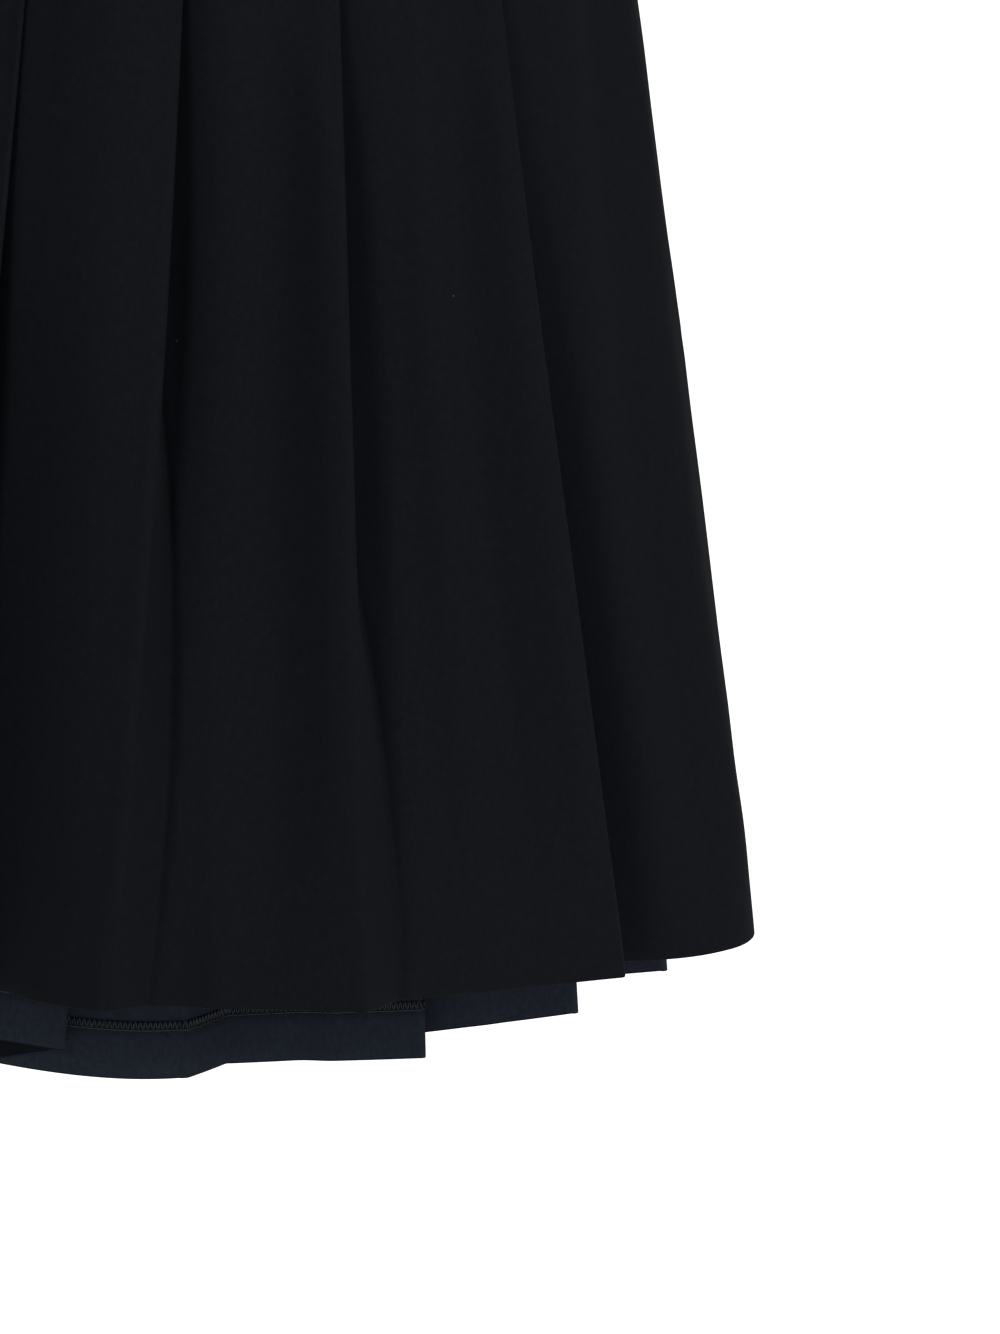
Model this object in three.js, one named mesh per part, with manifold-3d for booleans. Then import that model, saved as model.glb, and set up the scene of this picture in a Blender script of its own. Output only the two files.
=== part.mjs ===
// A knife-pleated midi skirt, in millimetres: two pressed panels, a waistband and a concealed zip.
// Z is up and the waistband's top edge is at z = 0. The front faces -Y and the wearer's left side is +X.
// A height is given as "down", the distance below the top edge. Places round the skirt are given in
// pitches, twelfths of the way round, from the middle of the front towards +X.
import * as THREE from "three";
import { mergeVertices } from "three/addons/utils/BufferGeometryUtils.js";
import Module from "manifold-3d";

// Cloth and seams.
const CLOTH = 1.2;
const SEAM_GAP = 0.3;
const PITCHES_ROUND = 12;

// Lengths.
const SIDE_LENGTH = 750;
const BACK_DIP = 102;
const DIP_SHIFT = 0.5;
const BAND_HEIGHT = 34;
const PANEL_TOP = 27.3;

// The skirt's form at each height: an ellipse through the outer edges of the pleats.
const SECTIONS = [
  { down: 0, halfWidth: 131, halfDepth: 96 },
  { down: 34, halfWidth: 134, halfDepth: 98 },
  { down: 100, halfWidth: 155, halfDepth: 113 },
  { down: 200, halfWidth: 180, halfDepth: 130 },
  { down: 280, halfWidth: 190, halfDepth: 138 },
  { down: 400, halfWidth: 206, halfDepth: 147 },
  { down: 520, halfWidth: 224, halfDepth: 155 },
  { down: 640, halfWidth: 242, halfDepth: 162 },
  { down: 750, halfWidth: 259, halfDepth: 168 },
  { down: 860, halfWidth: 273, halfDepth: 174 },
];

// One row for each pleat, in order round the skirt. waist and hem place its fold edge in pitches.
// swing is the angle at the hem, in degrees, by which its underlay has swung in from lying flat
// behind the panel, from is the height where that starts, and underlay is its length at the hem.
// set moves the fold edge in or out at the hem, and belly is how soon the next panel comes back out.
const PLEATS = [
  { waist: -1.27, hem: -1.55, swing: 66, from: 200, underlay: 48, set: -4, belly: 1.2 },
  { waist: -0.335, hem: -0.62, swing: 136, from: 130, underlay: 26, set: -4, belly: 1.0 },
  { waist: 0.487, hem: 0.485, swing: 130, from: 150, underlay: 38, set: 0, belly: 1.0 },
  { waist: 1.36, hem: 1.88, swing: 136, from: 160, underlay: 46, set: -28, belly: 2.3 },
  { waist: 2.83, hem: 3.45, swing: 58, from: 200, underlay: 48, set: 0, belly: 2.2 },
  { waist: 4.0, hem: 4.31, swing: 12, from: 230, underlay: 48, set: -4, belly: 2.0 },
  { waist: 4.84, hem: 4.84, swing: 10, from: 210, underlay: 44, set: -2, belly: 2.0 },
  { waist: 5.68, hem: 5.62, swing: 12, from: 190, underlay: 48, set: -4, belly: 2.0 },
  { waist: 6.52, hem: 6.16, swing: 134, from: 170, underlay: 38, set: 0, belly: 1.4 },
  { waist: 7.36, hem: 7.3, swing: 24, from: 210, underlay: 48, set: -3, belly: 2.2 },
  { waist: 8.2, hem: 8.12, swing: 70, from: 180, underlay: 46, set: 0, belly: 1.6 },
  { waist: 9.05, hem: 8.95, swing: 44, from: 220, underlay: 48, set: -2, belly: 2.2 },
  { waist: 9.89, hem: 9.72, swing: 88, from: 170, underlay: 44, set: 0, belly: 1.5 },
];
const LEFT_SEAM_PLEAT = 4;
const RIGHT_SEAM_PLEAT = 11;

// Pleat folds.
const UNDERLAY_WAIST = 40;
const FOLD_RADIUS = 1.1;
const HEM_FOLD_RADIUS = 4.0;
const STRAIGHTEN = 7;
const FULLY_OPEN_DEPTH = 24;
const RISE_LEAD = 1.5;
const LONGEST_RISE = 30;
const HEM_RISE_ANGLE = 0.6;
const SHORTEST_RISE = 6;
const LEAST_HIDDEN_SHARE = 0.1;
const PANEL_PITCHES = 1.25;
const WIDE_SWING = 130;
const FOLD_DRIFT = 1.5;
const SET_DRIFT = 3;
const SHARPEST_MITER = 0.5;

// How finely the cloth is divided.
const ROW_DOWNS = [38, 85, 145, 215, 300, 390, 480, 565, 640, 700];
const ARC_STEPS = 3;
const UNDERLAY_STEPS = 3;
const RISE_STEPS = 4;
const OPEN_PANEL_STEPS = 5;
const BAND_STEPS = 72;
const ELLIPSE_STEPS = 360;

// Waistband: a body and two leaves, which hold the panels' top edges between them.
const BAND_OUT = 2.4;
const BAND_THICKNESS = 3;
const BAND_LEAF = 1.2;
const BAND_SLOT_OUT = 1.2;
const BAND_SLOT_IN = -6.6;
const BAND_SLOT_TOP = 27;
const BAND_FLARE = { from: 12.5, to: 24 };
const BAND_END_GAP = 0.6;

// Concealed zip.
const ZIP_TOP = 36;
const ZIP_END = 205;
const ZIP_GAP = 1.6;
const TAPE = 1.0;
const TAPE_WIDTH = 9;
const TAPE_CLEARANCE = 0.5;
const SLIDER_DOWN = 43;
const SLIDER = { width: 5.6, depth: 2.2, length: 8, clearance: 0.4 };
const NECK = { width: 0.9, length: 4.4 };
const CROWN = { depth: 0.7, clearance: 0.3, length: 2.8 };
const EAR = { width: 0.8, gap: 2.4, reach: 1.2 };
const PIN_RADIUS = 0.55;
const EYE = { inner: 0.85, outer: 1.4, width: 1.8 };
const PULL = { length: 20, width: 4.6, neckWidth: 1.8, thickness: 1.1, overlap: 0.2 };

// Waist hook and bar, on the inside of the band's two ends.
const HOOK_DOWN = 7;
const HOOK = { thickness: 0.8, height: 5, tail: -7, bend: -0.6, crest: 1.2, reach: 6.8, lip: 1.4 };
const HOOK_CLEARANCE = 0.85;
const BAR = { thickness: 1.2, height: 10.4, middle: 5, back: 0.7, stand: 1.1 };

const navyWool = () => new THREE.MeshStandardMaterial({ color: 0x14161b, roughness: 0.9, metalness: 0 });
const navyTape = () => new THREE.MeshStandardMaterial({ color: 0x1a1d24, roughness: 0.8, metalness: 0 });
const darkZinc = () => new THREE.MeshStandardMaterial({ color: 0x3a3d42, roughness: 0.4, metalness: 0.9 });
const nickelSteel = () => new THREE.MeshStandardMaterial({ color: 0xa8a9a6, roughness: 0.3, metalness: 1 });

const clamp = (x, low, high) => Math.min(high, Math.max(low, x));
const mix = (a, b, t) => a + (b - a) * t;
const smoothstep = (t) => {
  const x = clamp(t, 0, 1);
  return x * x * (3 - 2 * x);
};

// The value of a column at a height, on a smooth curve through the rows of a table.
function columnAt(table, column, down) {
  const last = table.length - 2;
  const found = table.findIndex((row, i) => i < table.length - 1 && down <= table[i + 1].down);
  const i = found < 0 ? last : found;
  const slope = (a, b) => (table[b][column] - table[a][column]) / (table[b].down - table[a].down);
  const span = table[i + 1].down - table[i].down;
  const t = (down - table[i].down) / span;
  const start = slope(Math.max(0, i - 1), i + 1) * span;
  const end = slope(i, Math.min(last + 1, i + 2)) * span;
  const a = table[i][column];
  const b = table[i + 1][column];
  return a + t * (start + t * (3 * (b - a) - 2 * start - end + t * (2 * (a - b) + start + end)));
}

// The skirt's form at one height, with places on it found by their distance round from the front.
class Form {
  constructor(down) {
    this.halfWidth = columnAt(SECTIONS, "halfWidth", down);
    this.halfDepth = columnAt(SECTIONS, "halfDepth", down);
    this.z = -down;
    this.lengths = [0];
    for (let i = 1; i <= ELLIPSE_STEPS; i++) {
      const step = this.onEllipse(this.angle(i)).distanceTo(this.onEllipse(this.angle(i - 1)));
      this.lengths.push(this.lengths[i - 1] + step);
    }
    this.round = this.lengths[ELLIPSE_STEPS];
    this.pitch = this.round / PITCHES_ROUND;
  }

  angle(step) {
    return (2 * Math.PI * step) / ELLIPSE_STEPS;
  }

  onEllipse(angle) {
    return new THREE.Vector3(this.halfWidth * Math.sin(angle), -this.halfDepth * Math.cos(angle), this.z);
  }

  // The ellipse's own angle at a distance round from the front.
  angleAt(distance) {
    const turns = Math.floor(distance / this.round);
    const rest = distance - turns * this.round;
    let low = 0;
    let high = ELLIPSE_STEPS;
    while (high - low > 1) {
      const middle = (low + high) >> 1;
      if (this.lengths[middle] <= rest) low = middle;
      else high = middle;
    }
    const part = (rest - this.lengths[low]) / (this.lengths[high] - this.lengths[low]);
    return this.angle(low + part) + 2 * Math.PI * turns;
  }

  // A point at a distance round, moved out from the form by offset.
  at(distance, offset) {
    const angle = this.angleAt(distance);
    const out = new THREE.Vector3(this.halfDepth * Math.sin(angle), -this.halfWidth * Math.cos(angle), 0);
    return this.onEllipse(angle).addScaledVector(out.normalize(), offset);
  }
}

// How one pleat lies at one height, as distances round and offsets out from the form.
function pleatState(form, down, index) {
  const turn = Math.floor(index / PLEATS.length);
  const pleat = PLEATS[index - turn * PLEATS.length];
  const along = Math.min(1, down / SIDE_LENGTH);
  const place = mix(pleat.waist, pleat.hem, along ** FOLD_DRIFT) + turn * PITCHES_ROUND;
  const opened = smoothstep((down - pleat.from) / (SIDE_LENGTH - pleat.from));
  const swing = THREE.MathUtils.degToRad(pleat.swing * opened);
  const underlay = mix(UNDERLAY_WAIST, pleat.underlay, along);
  return {
    fold: place * form.pitch,
    out: pleat.set * along ** SET_DRIFT,
    swing,
    radius: mix(FOLD_RADIUS, HEM_FOLD_RADIUS, opened * clamp(pleat.swing / WIDE_SWING, 0, 1)),
    underlay,
    openness: smoothstep((underlay * Math.sin(swing)) / FULLY_OPEN_DEPTH),
    belly: pleat.belly,
  };
}

// Points on an arc that starts at a point with a heading and turns by an angle, left if positive.
function arc(start, heading, turn, radius) {
  const side = Math.sign(turn);
  const centre = {
    s: start.s - side * radius * Math.sin(heading),
    n: start.n + side * radius * Math.cos(heading),
  };
  return Array.from({ length: ARC_STEPS + 1 }, (_, i) => {
    const facing = heading + (turn * i) / ARC_STEPS;
    return { s: centre.s + side * radius * Math.sin(facing), n: centre.n - side * radius * Math.cos(facing) };
  });
}

// One pleat's cloth at one height: round its fold edge, back along the underlay, round the inner
// crease and out along the next panel, up to the next fold. share runs from 0 to 1 with the cloth.
function pleatPath(form, down, index) {
  const here = pleatState(form, down, index);
  const next = pleatState(form, down, index + 1);
  const underlayShare = here.underlay / (here.underlay + PANEL_PITCHES * form.pitch);

  const back = here.swing - Math.PI;
  const edge = arc({ s: here.fold - here.radius, n: here.out }, 0, back, here.radius);
  const leave = edge[ARC_STEPS];
  const reach = here.underlay - 2 * here.radius;
  const run = { s: Math.cos(back) * reach, n: Math.sin(back) * reach };
  const underlay = Array.from({ length: UNDERLAY_STEPS - 1 }, (_, i) => {
    const t = (i + 1) / UNDERLAY_STEPS;
    return { s: leave.s + run.s * t, n: leave.n + run.n * t };
  });
  const arrive = { s: leave.s + run.s, n: leave.n + run.n };
  const { openness } = here;
  const crease = arc(arrive, back, HEM_RISE_ANGLE * openness - back, here.radius);

  // The next panel stays behind the underlay while the pleat is shut, then steps out. It lies flat
  // over the next pleat's underlay while that one is shut.
  const start = crease[ARC_STEPS];
  const end = { s: next.fold - next.radius, n: next.out };
  const length = end.s - start.s;
  const single = next.fold - here.fold - next.underlay - 2 * RISE_LEAD;
  const rise = clamp(single, SHORTEST_RISE, LONGEST_RISE) / length;
  const shown = (here.fold + RISE_LEAD - start.s) / length;
  const first = Math.max(shown, LEAST_HIDDEN_SHARE);
  const overNext = (next.fold - next.underlay - RISE_LEAD - start.s) / length;
  const settled = mix(Math.max(overNext, first + rise), 1, next.openness);
  const stations = [first / 2, first, first + rise / 2, first + rise];
  for (let i = 1; i < OPEN_PANEL_STEPS; i++) stations.push(mix(first + rise, 1, i / OPEN_PANEL_STEPS));
  const foldWidth = 2 * here.radius;
  const behind = here.out - 2 * foldWidth;
  const panel = stations.map((t) => {
    const hidden = mix(start.n, behind, Math.min(1, t / first));
    const shut = mix(hidden, end.n, smoothstep((t - first) / rise));
    const out = Math.min(1, t / settled);
    const open = mix(start.n, end.n, 1 - (1 - out) ** here.belly);
    const sag = STRAIGHTEN * openness * 4 * out * (1 - out);
    return { s: start.s + length * t, n: mix(shut, open, openness) - sag };
  });

  const shares = [
    ...edge.map(() => 0),
    ...underlay.map((_, i) => (underlayShare * (i + 1)) / UNDERLAY_STEPS),
    ...crease.map(() => underlayShare),
    ...stations.map((t) => mix(underlayShare, 1, t)),
  ];
  return [...edge, ...underlay, ...crease, ...panel].map((p, i) => ({ ...p, share: shares[i] }));
}

const PLEAT_POINTS = 2 * (ARC_STEPS + 1) + UNDERLAY_STEPS - 1 + RISE_STEPS + OPEN_PANEL_STEPS - 1;
const SEAM_POINT = PLEAT_POINTS - OPEN_PANEL_STEPS - 1;

// The cloth's length below the waist's top edge at a point of the hem, level in front and dipped behind.
const hemForm = new Form(SIDE_LENGTH);
function clothLength(index, share) {
  const fold = pleatState(hemForm, SIDE_LENGTH, index).fold;
  const nextFold = pleatState(hemForm, SIDE_LENGTH, index + 1).fold;
  const place = mix(fold, nextFold, share) - DIP_SHIFT * hemForm.pitch;
  const behind = Math.max(0, -Math.cos(hemForm.angleAt(place)));
  return SIDE_LENGTH + BACK_DIP * behind ** 2;
}

// The wall's middle line at one column and height, with its outward direction and its heading.
const pathCache = new Map();
function worldPath(down, index) {
  const key = `${down.toFixed(4)}/${index}`;
  if (!pathCache.has(key)) {
    const form = new Form(down);
    pathCache.set(key, pleatPath(form, down, index).map((p) => form.at(p.s, p.n)));
  }
  return pathCache.get(key);
}

function columnPoint(column, down) {
  const index = Math.floor(column / PLEAT_POINTS);
  return worldPath(down, index)[column - index * PLEAT_POINTS];
}

function wallPoint(column, down) {
  const middle = columnPoint(column, down);
  const before = middle.clone().sub(columnPoint(column - 1, down)).normalize();
  const after = columnPoint(column + 1, down).clone().sub(middle).normalize();
  const heading = before.clone().add(after).normalize();
  const out = new THREE.Vector3(heading.y, -heading.x, 0);
  return { middle, heading, out, miter: 1 / Math.max(SHARPEST_MITER, heading.dot(after)) };
}

// The heights of one column's rows, from the panel's top edge to the hem.
function columnDowns(column) {
  const index = Math.floor(column / PLEAT_POINTS);
  const share = pleatPath(hemForm, SIDE_LENGTH, index)[column - index * PLEAT_POINTS].share;
  const hem = clothLength(index, share);
  const stretch = (hem - PANEL_TOP) / (SIDE_LENGTH - PANEL_TOP);
  return [PANEL_TOP, ...ROW_DOWNS, SIDE_LENGTH].map((down) => PANEL_TOP + (down - PANEL_TOP) * stretch);
}

// A closed wall between two grids of points, rows downward and columns towards +X at the front.
function wallGeometry(outer, inner) {
  const rows = outer.length;
  const columns = outer[0].length;
  const points = [...outer.flat(), ...inner.flat()];
  const o = (i, j) => i * columns + j;
  const n = (i, j) => rows * columns + o(i, j);
  const faces = [];
  const quad = (a, b, c, d) => faces.push(a, b, c, a, c, d);
  for (let i = 0; i < rows - 1; i++) {
    for (let j = 0; j < columns - 1; j++) {
      quad(o(i, j), o(i + 1, j), o(i + 1, j + 1), o(i, j + 1));
      quad(n(i, j), n(i, j + 1), n(i + 1, j + 1), n(i + 1, j));
    }
    quad(n(i, 0), n(i + 1, 0), o(i + 1, 0), o(i, 0));
    quad(o(i, columns - 1), o(i + 1, columns - 1), n(i + 1, columns - 1), n(i, columns - 1));
  }
  for (let j = 0; j < columns - 1; j++) {
    quad(o(0, j), o(0, j + 1), n(0, j + 1), n(0, j));
    quad(n(rows - 1, j), n(rows - 1, j + 1), o(rows - 1, j + 1), o(rows - 1, j));
  }
  return new THREE.BufferGeometry().setFromPoints(points).setIndex(faces);
}

// The columns of the two side seams.
const leftSeam = LEFT_SEAM_PLEAT * PLEAT_POINTS + SEAM_POINT;
const rightSeam = RIGHT_SEAM_PLEAT * PLEAT_POINTS + SEAM_POINT;

// Half the gap between the two panels' edges at a side seam.
const halfGap = (zipped, down) => (zipped && down < ZIP_END ? ZIP_GAP : SEAM_GAP) / 2;

// A panel from one side seam to the other.
function panelGeometry(firstColumn, lastColumn, zippedColumn) {
  const outer = [];
  const inner = [];
  for (let row = 0; row < ROW_DOWNS.length + 2; row++) {
    outer.push([]);
    inner.push([]);
    for (let column = firstColumn; column <= lastColumn; column++) {
      const down = columnDowns(column)[row];
      const { middle, heading, out, miter } = wallPoint(column, down);
      const trim = halfGap(column === zippedColumn, down);
      const shift = column === firstColumn ? trim : column === lastColumn ? -trim : 0;
      const centre = middle.clone().addScaledVector(heading, shift);
      outer[row].push(centre.clone().addScaledVector(out, (miter * CLOTH) / 2));
      inner[row].push(centre.clone().addScaledVector(out, (-miter * CLOTH) / 2));
    }
  }
  return wallGeometry(outer, inner);
}

// A closed sweep of an outline through stations, with flat ends.
function sweptGeometry(outline, stations, place) {
  const count = outline.length;
  const points = stations.flatMap((station) => outline.map((corner) => place(station, corner)));
  const faces = [];
  for (let i = 0; i < stations.length - 1; i++) {
    for (let j = 0; j < count; j++) {
      const a = i * count + j;
      const b = i * count + ((j + 1) % count);
      faces.push(a, b, b + count, a, b + count, a + count);
    }
  }
  const end = (stations.length - 1) * count;
  for (const [a, b, c] of THREE.ShapeUtils.triangulateShape(outline, [])) {
    faces.push(a, c, b, end + a, end + b, end + c);
  }
  return new THREE.BufferGeometry().setFromPoints(points).setIndex(faces);
}

// Where the left side seam lies round the band, in pitches.
function leftSeamPlace() {
  const form = new Form(PANEL_TOP);
  return pleatPath(form, PANEL_TOP, LEFT_SEAM_PLEAT)[SEAM_POINT].s / form.pitch;
}

function waistbandGeometry() {
  const bodyIn = BAND_OUT - BAND_THICKNESS;
  const leafIn = BAND_SLOT_IN - BAND_LEAF;
  const outline = [
    [BAND_OUT, 0],
    [BAND_OUT, BAND_HEIGHT],
    [BAND_SLOT_OUT, BAND_HEIGHT],
    [BAND_SLOT_OUT, BAND_SLOT_TOP],
    [BAND_SLOT_IN, BAND_SLOT_TOP],
    [BAND_SLOT_IN, BAND_HEIGHT],
    [leafIn, BAND_HEIGHT],
    [leafIn, BAND_FLARE.to],
    [bodyIn, BAND_FLARE.from],
    [bodyIn, 0],
  ].map(([out, down]) => new THREE.Vector2(out, down));
  const forms = new Map(outline.map((corner) => [corner.y, new Form(corner.y)]));
  const seam = leftSeamPlace();
  const stations = Array.from({ length: BAND_STEPS + 1 }, (_, i) => i / BAND_STEPS);
  return sweptGeometry(outline, stations, (share, corner) => {
    const form = forms.get(corner.y);
    const start = seam * form.pitch + BAND_END_GAP / 2;
    return form.at(start + share * (form.round - BAND_END_GAP), corner.x);
  });
}

// A point of the wall's flat facets on the left seam's columns, which stay level in the zip's length.
function seamPoint(offset, down) {
  const rows = [PANEL_TOP, ...ROW_DOWNS];
  const i = rows.findIndex((row, index) => down <= rows[index + 1]);
  const t = (down - rows[i]) / (rows[i + 1] - rows[i]);
  return columnPoint(leftSeam + offset, rows[i]).clone().lerp(columnPoint(leftSeam + offset, rows[i + 1]), t);
}

// Half of the zip's tape, flat behind the panel's edge: side -1 lies on the front panel, 1 on the back.
function tapeGeometry(side) {
  const lift = CLOTH / 2 + TAPE_CLEARANCE + TAPE / 2;
  const downs = [ZIP_TOP, ...ROW_DOWNS.filter((down) => down < ZIP_END), ZIP_END];
  const grids = [TAPE / 2, -TAPE / 2].map((half) =>
    downs.map((down) => {
      const seam = seamPoint(0, down);
      const away = seamPoint(side, down).sub(seam).normalize();
      const out = new THREE.Vector3(side * away.y, -side * away.x, 0);
      const edges = side < 0 ? [TAPE_WIDTH, ZIP_GAP / 2] : [ZIP_GAP / 2, TAPE_WIDTH];
      return edges.map((x) => seam.clone().addScaledVector(away, x).addScaledVector(out, half - lift));
    }),
  );
  return wallGeometry(grids[0], grids[1]);
}

// A group whose x runs along the seam's heading, y up the wall and z out of it.
function seamFrame(origin, along, up) {
  const out = new THREE.Vector3().crossVectors(along, up).normalize();
  const frame = new THREE.Group();
  frame.quaternion.setFromRotationMatrix(
    new THREE.Matrix4().makeBasis(along, new THREE.Vector3().crossVectors(out, along), out),
  );
  frame.position.copy(origin);
  return frame;
}

const wasm = await Module();
wasm.setup();

// The union of several closed geometries as one.
function joined(geometries) {
  const solids = geometries.map((geometry) => {
    const bare = (geometry.index ? geometry.toNonIndexed() : geometry.clone())
      .deleteAttribute("normal")
      .deleteAttribute("uv");
    const merged = mergeVertices(bare, 1e-4);
    return new wasm.Manifold(
      new wasm.Mesh({
        numProp: 3,
        vertProperties: merged.attributes.position.array,
        triVerts: new Uint32Array(merged.index.array),
      }),
    );
  });
  const mesh = solids.reduce((sum, solid) => sum.add(solid)).getMesh();
  return new THREE.BufferGeometry()
    .setAttribute("position", new THREE.BufferAttribute(mesh.vertProperties, 3))
    .setIndex(new THREE.BufferAttribute(mesh.triVerts, 1));
}

const boxAt = (width, height, depth, x, y, z) =>
  new THREE.BoxGeometry(width, height, depth).translate(x, y, z);

// Heights of the slider's parts out of the wall's middle line.
const SLIDER_FACE = -(CLOTH / 2 + TAPE_CLEARANCE + TAPE + SLIDER.clearance);
const CROWN_BACK = CLOTH / 2 + CROWN.clearance;
const CROWN_FACE = CROWN_BACK + CROWN.depth;
const PIN_OUT = CROWN_FACE + CROWN.clearance + EYE.outer;

// The slider: its body inside the skirt, a neck through the seam, and a crown whose ears hold the pin.
function sliderGeometry() {
  const neckBack = SLIDER_FACE - SLIDER.depth / 2;
  const neckDepth = CROWN_BACK + CROWN.depth / 2 - neckBack;
  const earReach = PIN_OUT + EAR.reach - CROWN_BACK;
  const earX = (EAR.gap + EAR.width) / 2;
  const crownWidth = EAR.gap + 2 * EAR.width;
  const pin = new THREE.CylinderGeometry(PIN_RADIUS, PIN_RADIUS, EAR.gap + EAR.width, 16)
    .rotateZ(Math.PI / 2)
    .translate(0, 0, PIN_OUT);
  return joined([
    boxAt(SLIDER.width, SLIDER.length, SLIDER.depth, 0, 0, SLIDER_FACE - SLIDER.depth / 2),
    boxAt(NECK.width, NECK.length, neckDepth, 0, 0, neckBack + neckDepth / 2),
    boxAt(crownWidth, CROWN.length, CROWN.depth, 0, 0, CROWN_BACK + CROWN.depth / 2),
    boxAt(EAR.width, CROWN.length, earReach, -earX, 0, CROWN_BACK + earReach / 2),
    boxAt(EAR.width, CROWN.length, earReach, earX, 0, CROWN_BACK + earReach / 2),
    pin,
  ]);
}

// The pull tab, hanging from its eye: a narrow neck that widens to a round end.
function pullGeometry() {
  const ring = new THREE.Shape().absarc(0, 0, EYE.outer, 0, 2 * Math.PI);
  ring.holes.push(new THREE.Path().absarc(0, 0, EYE.inner, 0, 2 * Math.PI));
  const eye = new THREE.ExtrudeGeometry(ring, { depth: EYE.width, bevelEnabled: false, curveSegments: 12 })
    .translate(0, 0, -EYE.width / 2)
    .rotateY(Math.PI / 2);
  const endY = -PULL.length + PULL.width / 2;
  const tab = new THREE.Shape();
  tab.moveTo(-PULL.neckWidth / 2, -EYE.inner - PULL.overlap);
  tab.lineTo(-PULL.width / 2, endY);
  tab.absarc(0, endY, PULL.width / 2, Math.PI, 2 * Math.PI);
  tab.lineTo(PULL.neckWidth / 2, -EYE.inner - PULL.overlap);
  const plate = new THREE.ExtrudeGeometry(tab, {
    depth: PULL.thickness,
    bevelEnabled: false,
    curveSegments: 8,
  }).translate(0, 0, -PULL.thickness / 2);
  return joined([eye, plate]);
}

// The hook: a plate on the band's front end, a crest over the bar and a lip behind it.
function hookGeometry() {
  const { thickness: t, tail, bend, crest, reach, lip } = HOOK;
  const near = HOOK_CLEARANCE;
  const far = BAR.back + BAR.stand + BAR.thickness + SEAM_GAP;
  const outline = [
    [tail, near],
    [bend + t, near],
    [crest + t / 2, far],
    [reach - t, far],
    [reach - t, lip],
    [reach, lip],
    [reach, far + t],
    [crest, far + t],
    [bend, near + t],
    [tail, near + t],
  ].map(([along, inward]) => new THREE.Vector2(along, -inward));
  return new THREE.ExtrudeGeometry(new THREE.Shape(outline), { depth: HOOK.height, bevelEnabled: false })
    .translate(0, 0, -HOOK.height / 2)
    .rotateX(Math.PI / 2);
}

// The bar: a flat staple on the band's back end.
function barGeometry() {
  const half = BAR.height / 2;
  const { back, thickness: t } = BAR;
  const top = back + BAR.stand + t;
  const outline = [
    [-half, back],
    [-half, top],
    [half, top],
    [half, back],
    [half - t, back],
    [half - t, top - t],
    [t - half, top - t],
    [t - half, back],
  ].map(([up, inward]) => new THREE.Vector2(inward, up));
  return new THREE.ExtrudeGeometry(new THREE.Shape(outline), { depth: t, bevelEnabled: false })
    .translate(0, 0, -t / 2)
    .rotateY(Math.PI / 2);
}

const skirt = new THREE.Group();
skirt.name = "pleated_midi_skirt";

function addMesh(name, geometry, material, parent = skirt) {
  const mesh = new THREE.Mesh(geometry, material);
  mesh.name = name;
  parent.add(mesh);
  return mesh;
}

const wholeRound = PLEATS.length * PLEAT_POINTS;
addMesh("front_panel", panelGeometry(rightSeam - wholeRound, leftSeam, leftSeam), navyWool());
addMesh("back_panel", panelGeometry(leftSeam, rightSeam, leftSeam), navyWool());
addMesh("waistband", waistbandGeometry(), navyWool());
addMesh("zip_tape_front", tapeGeometry(-1), navyTape());
addMesh("zip_tape_back", tapeGeometry(1), navyTape());

// The slider lies across the seam, and the pull tab hangs from its pin.
const seamAlong = wallPoint(leftSeam, SLIDER_DOWN).heading;
const seamUp = seamPoint(0, ROW_DOWNS[0]).sub(seamPoint(0, ROW_DOWNS[1])).normalize();
const sliderFrame = seamFrame(seamPoint(0, SLIDER_DOWN), seamAlong, seamUp);
skirt.add(sliderFrame);
addMesh("zip_slider", sliderGeometry(), darkZinc(), sliderFrame);
addMesh("zip_pull", pullGeometry(), darkZinc(), sliderFrame).position.z = PIN_OUT;

// The hook and bar meet inside the band, across its two ends.
const bandForm = new Form(HOOK_DOWN);
const bandSeam = leftSeamPlace() * bandForm.pitch;
const bandInside = bandForm.at(bandSeam, BAND_OUT - BAND_THICKNESS);
const bandAlong = bandForm.at(bandSeam + 1, 0).sub(bandForm.at(bandSeam - 1, 0)).normalize();
const hookFrame = seamFrame(bandInside, bandAlong, new THREE.Vector3(0, 0, 1));
skirt.add(hookFrame);
addMesh("waist_hook", hookGeometry(), nickelSteel(), hookFrame);
addMesh("waist_bar", barGeometry(), nickelSteel(), hookFrame).position.x = BAR.middle;

export default skirt;
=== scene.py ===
"""The looks of a knife-pleated midi skirt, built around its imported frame, with its studio.

Lengths in the tables are millimetres, and the frame is in metres. Z is up, the waistband's top edge is
at z = 0, the front faces -Y and the wearer's left side is +X. "Down" is the distance below that edge.
Places round the skirt are in pitches, twelfths of the way round, from the middle of the front to +X.
"""

import logging
import math
from dataclasses import dataclass, field
from enum import Enum

import bpy
import numpy as np
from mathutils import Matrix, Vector


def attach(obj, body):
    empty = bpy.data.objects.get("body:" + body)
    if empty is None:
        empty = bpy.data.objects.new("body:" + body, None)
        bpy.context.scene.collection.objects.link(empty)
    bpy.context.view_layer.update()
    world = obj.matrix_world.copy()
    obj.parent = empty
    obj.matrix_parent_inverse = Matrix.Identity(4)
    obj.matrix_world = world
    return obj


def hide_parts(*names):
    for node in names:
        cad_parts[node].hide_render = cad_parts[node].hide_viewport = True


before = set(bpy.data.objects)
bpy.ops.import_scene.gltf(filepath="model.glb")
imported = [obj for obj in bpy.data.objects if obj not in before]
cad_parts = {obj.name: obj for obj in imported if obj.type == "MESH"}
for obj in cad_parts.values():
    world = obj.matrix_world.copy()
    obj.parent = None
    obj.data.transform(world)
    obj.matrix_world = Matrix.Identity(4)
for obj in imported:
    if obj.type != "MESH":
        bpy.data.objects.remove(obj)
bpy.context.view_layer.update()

LOG = logging.getLogger("skirt")
MM = 0.001
PITCHES_ROUND = 12
Array = np.ndarray


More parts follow.
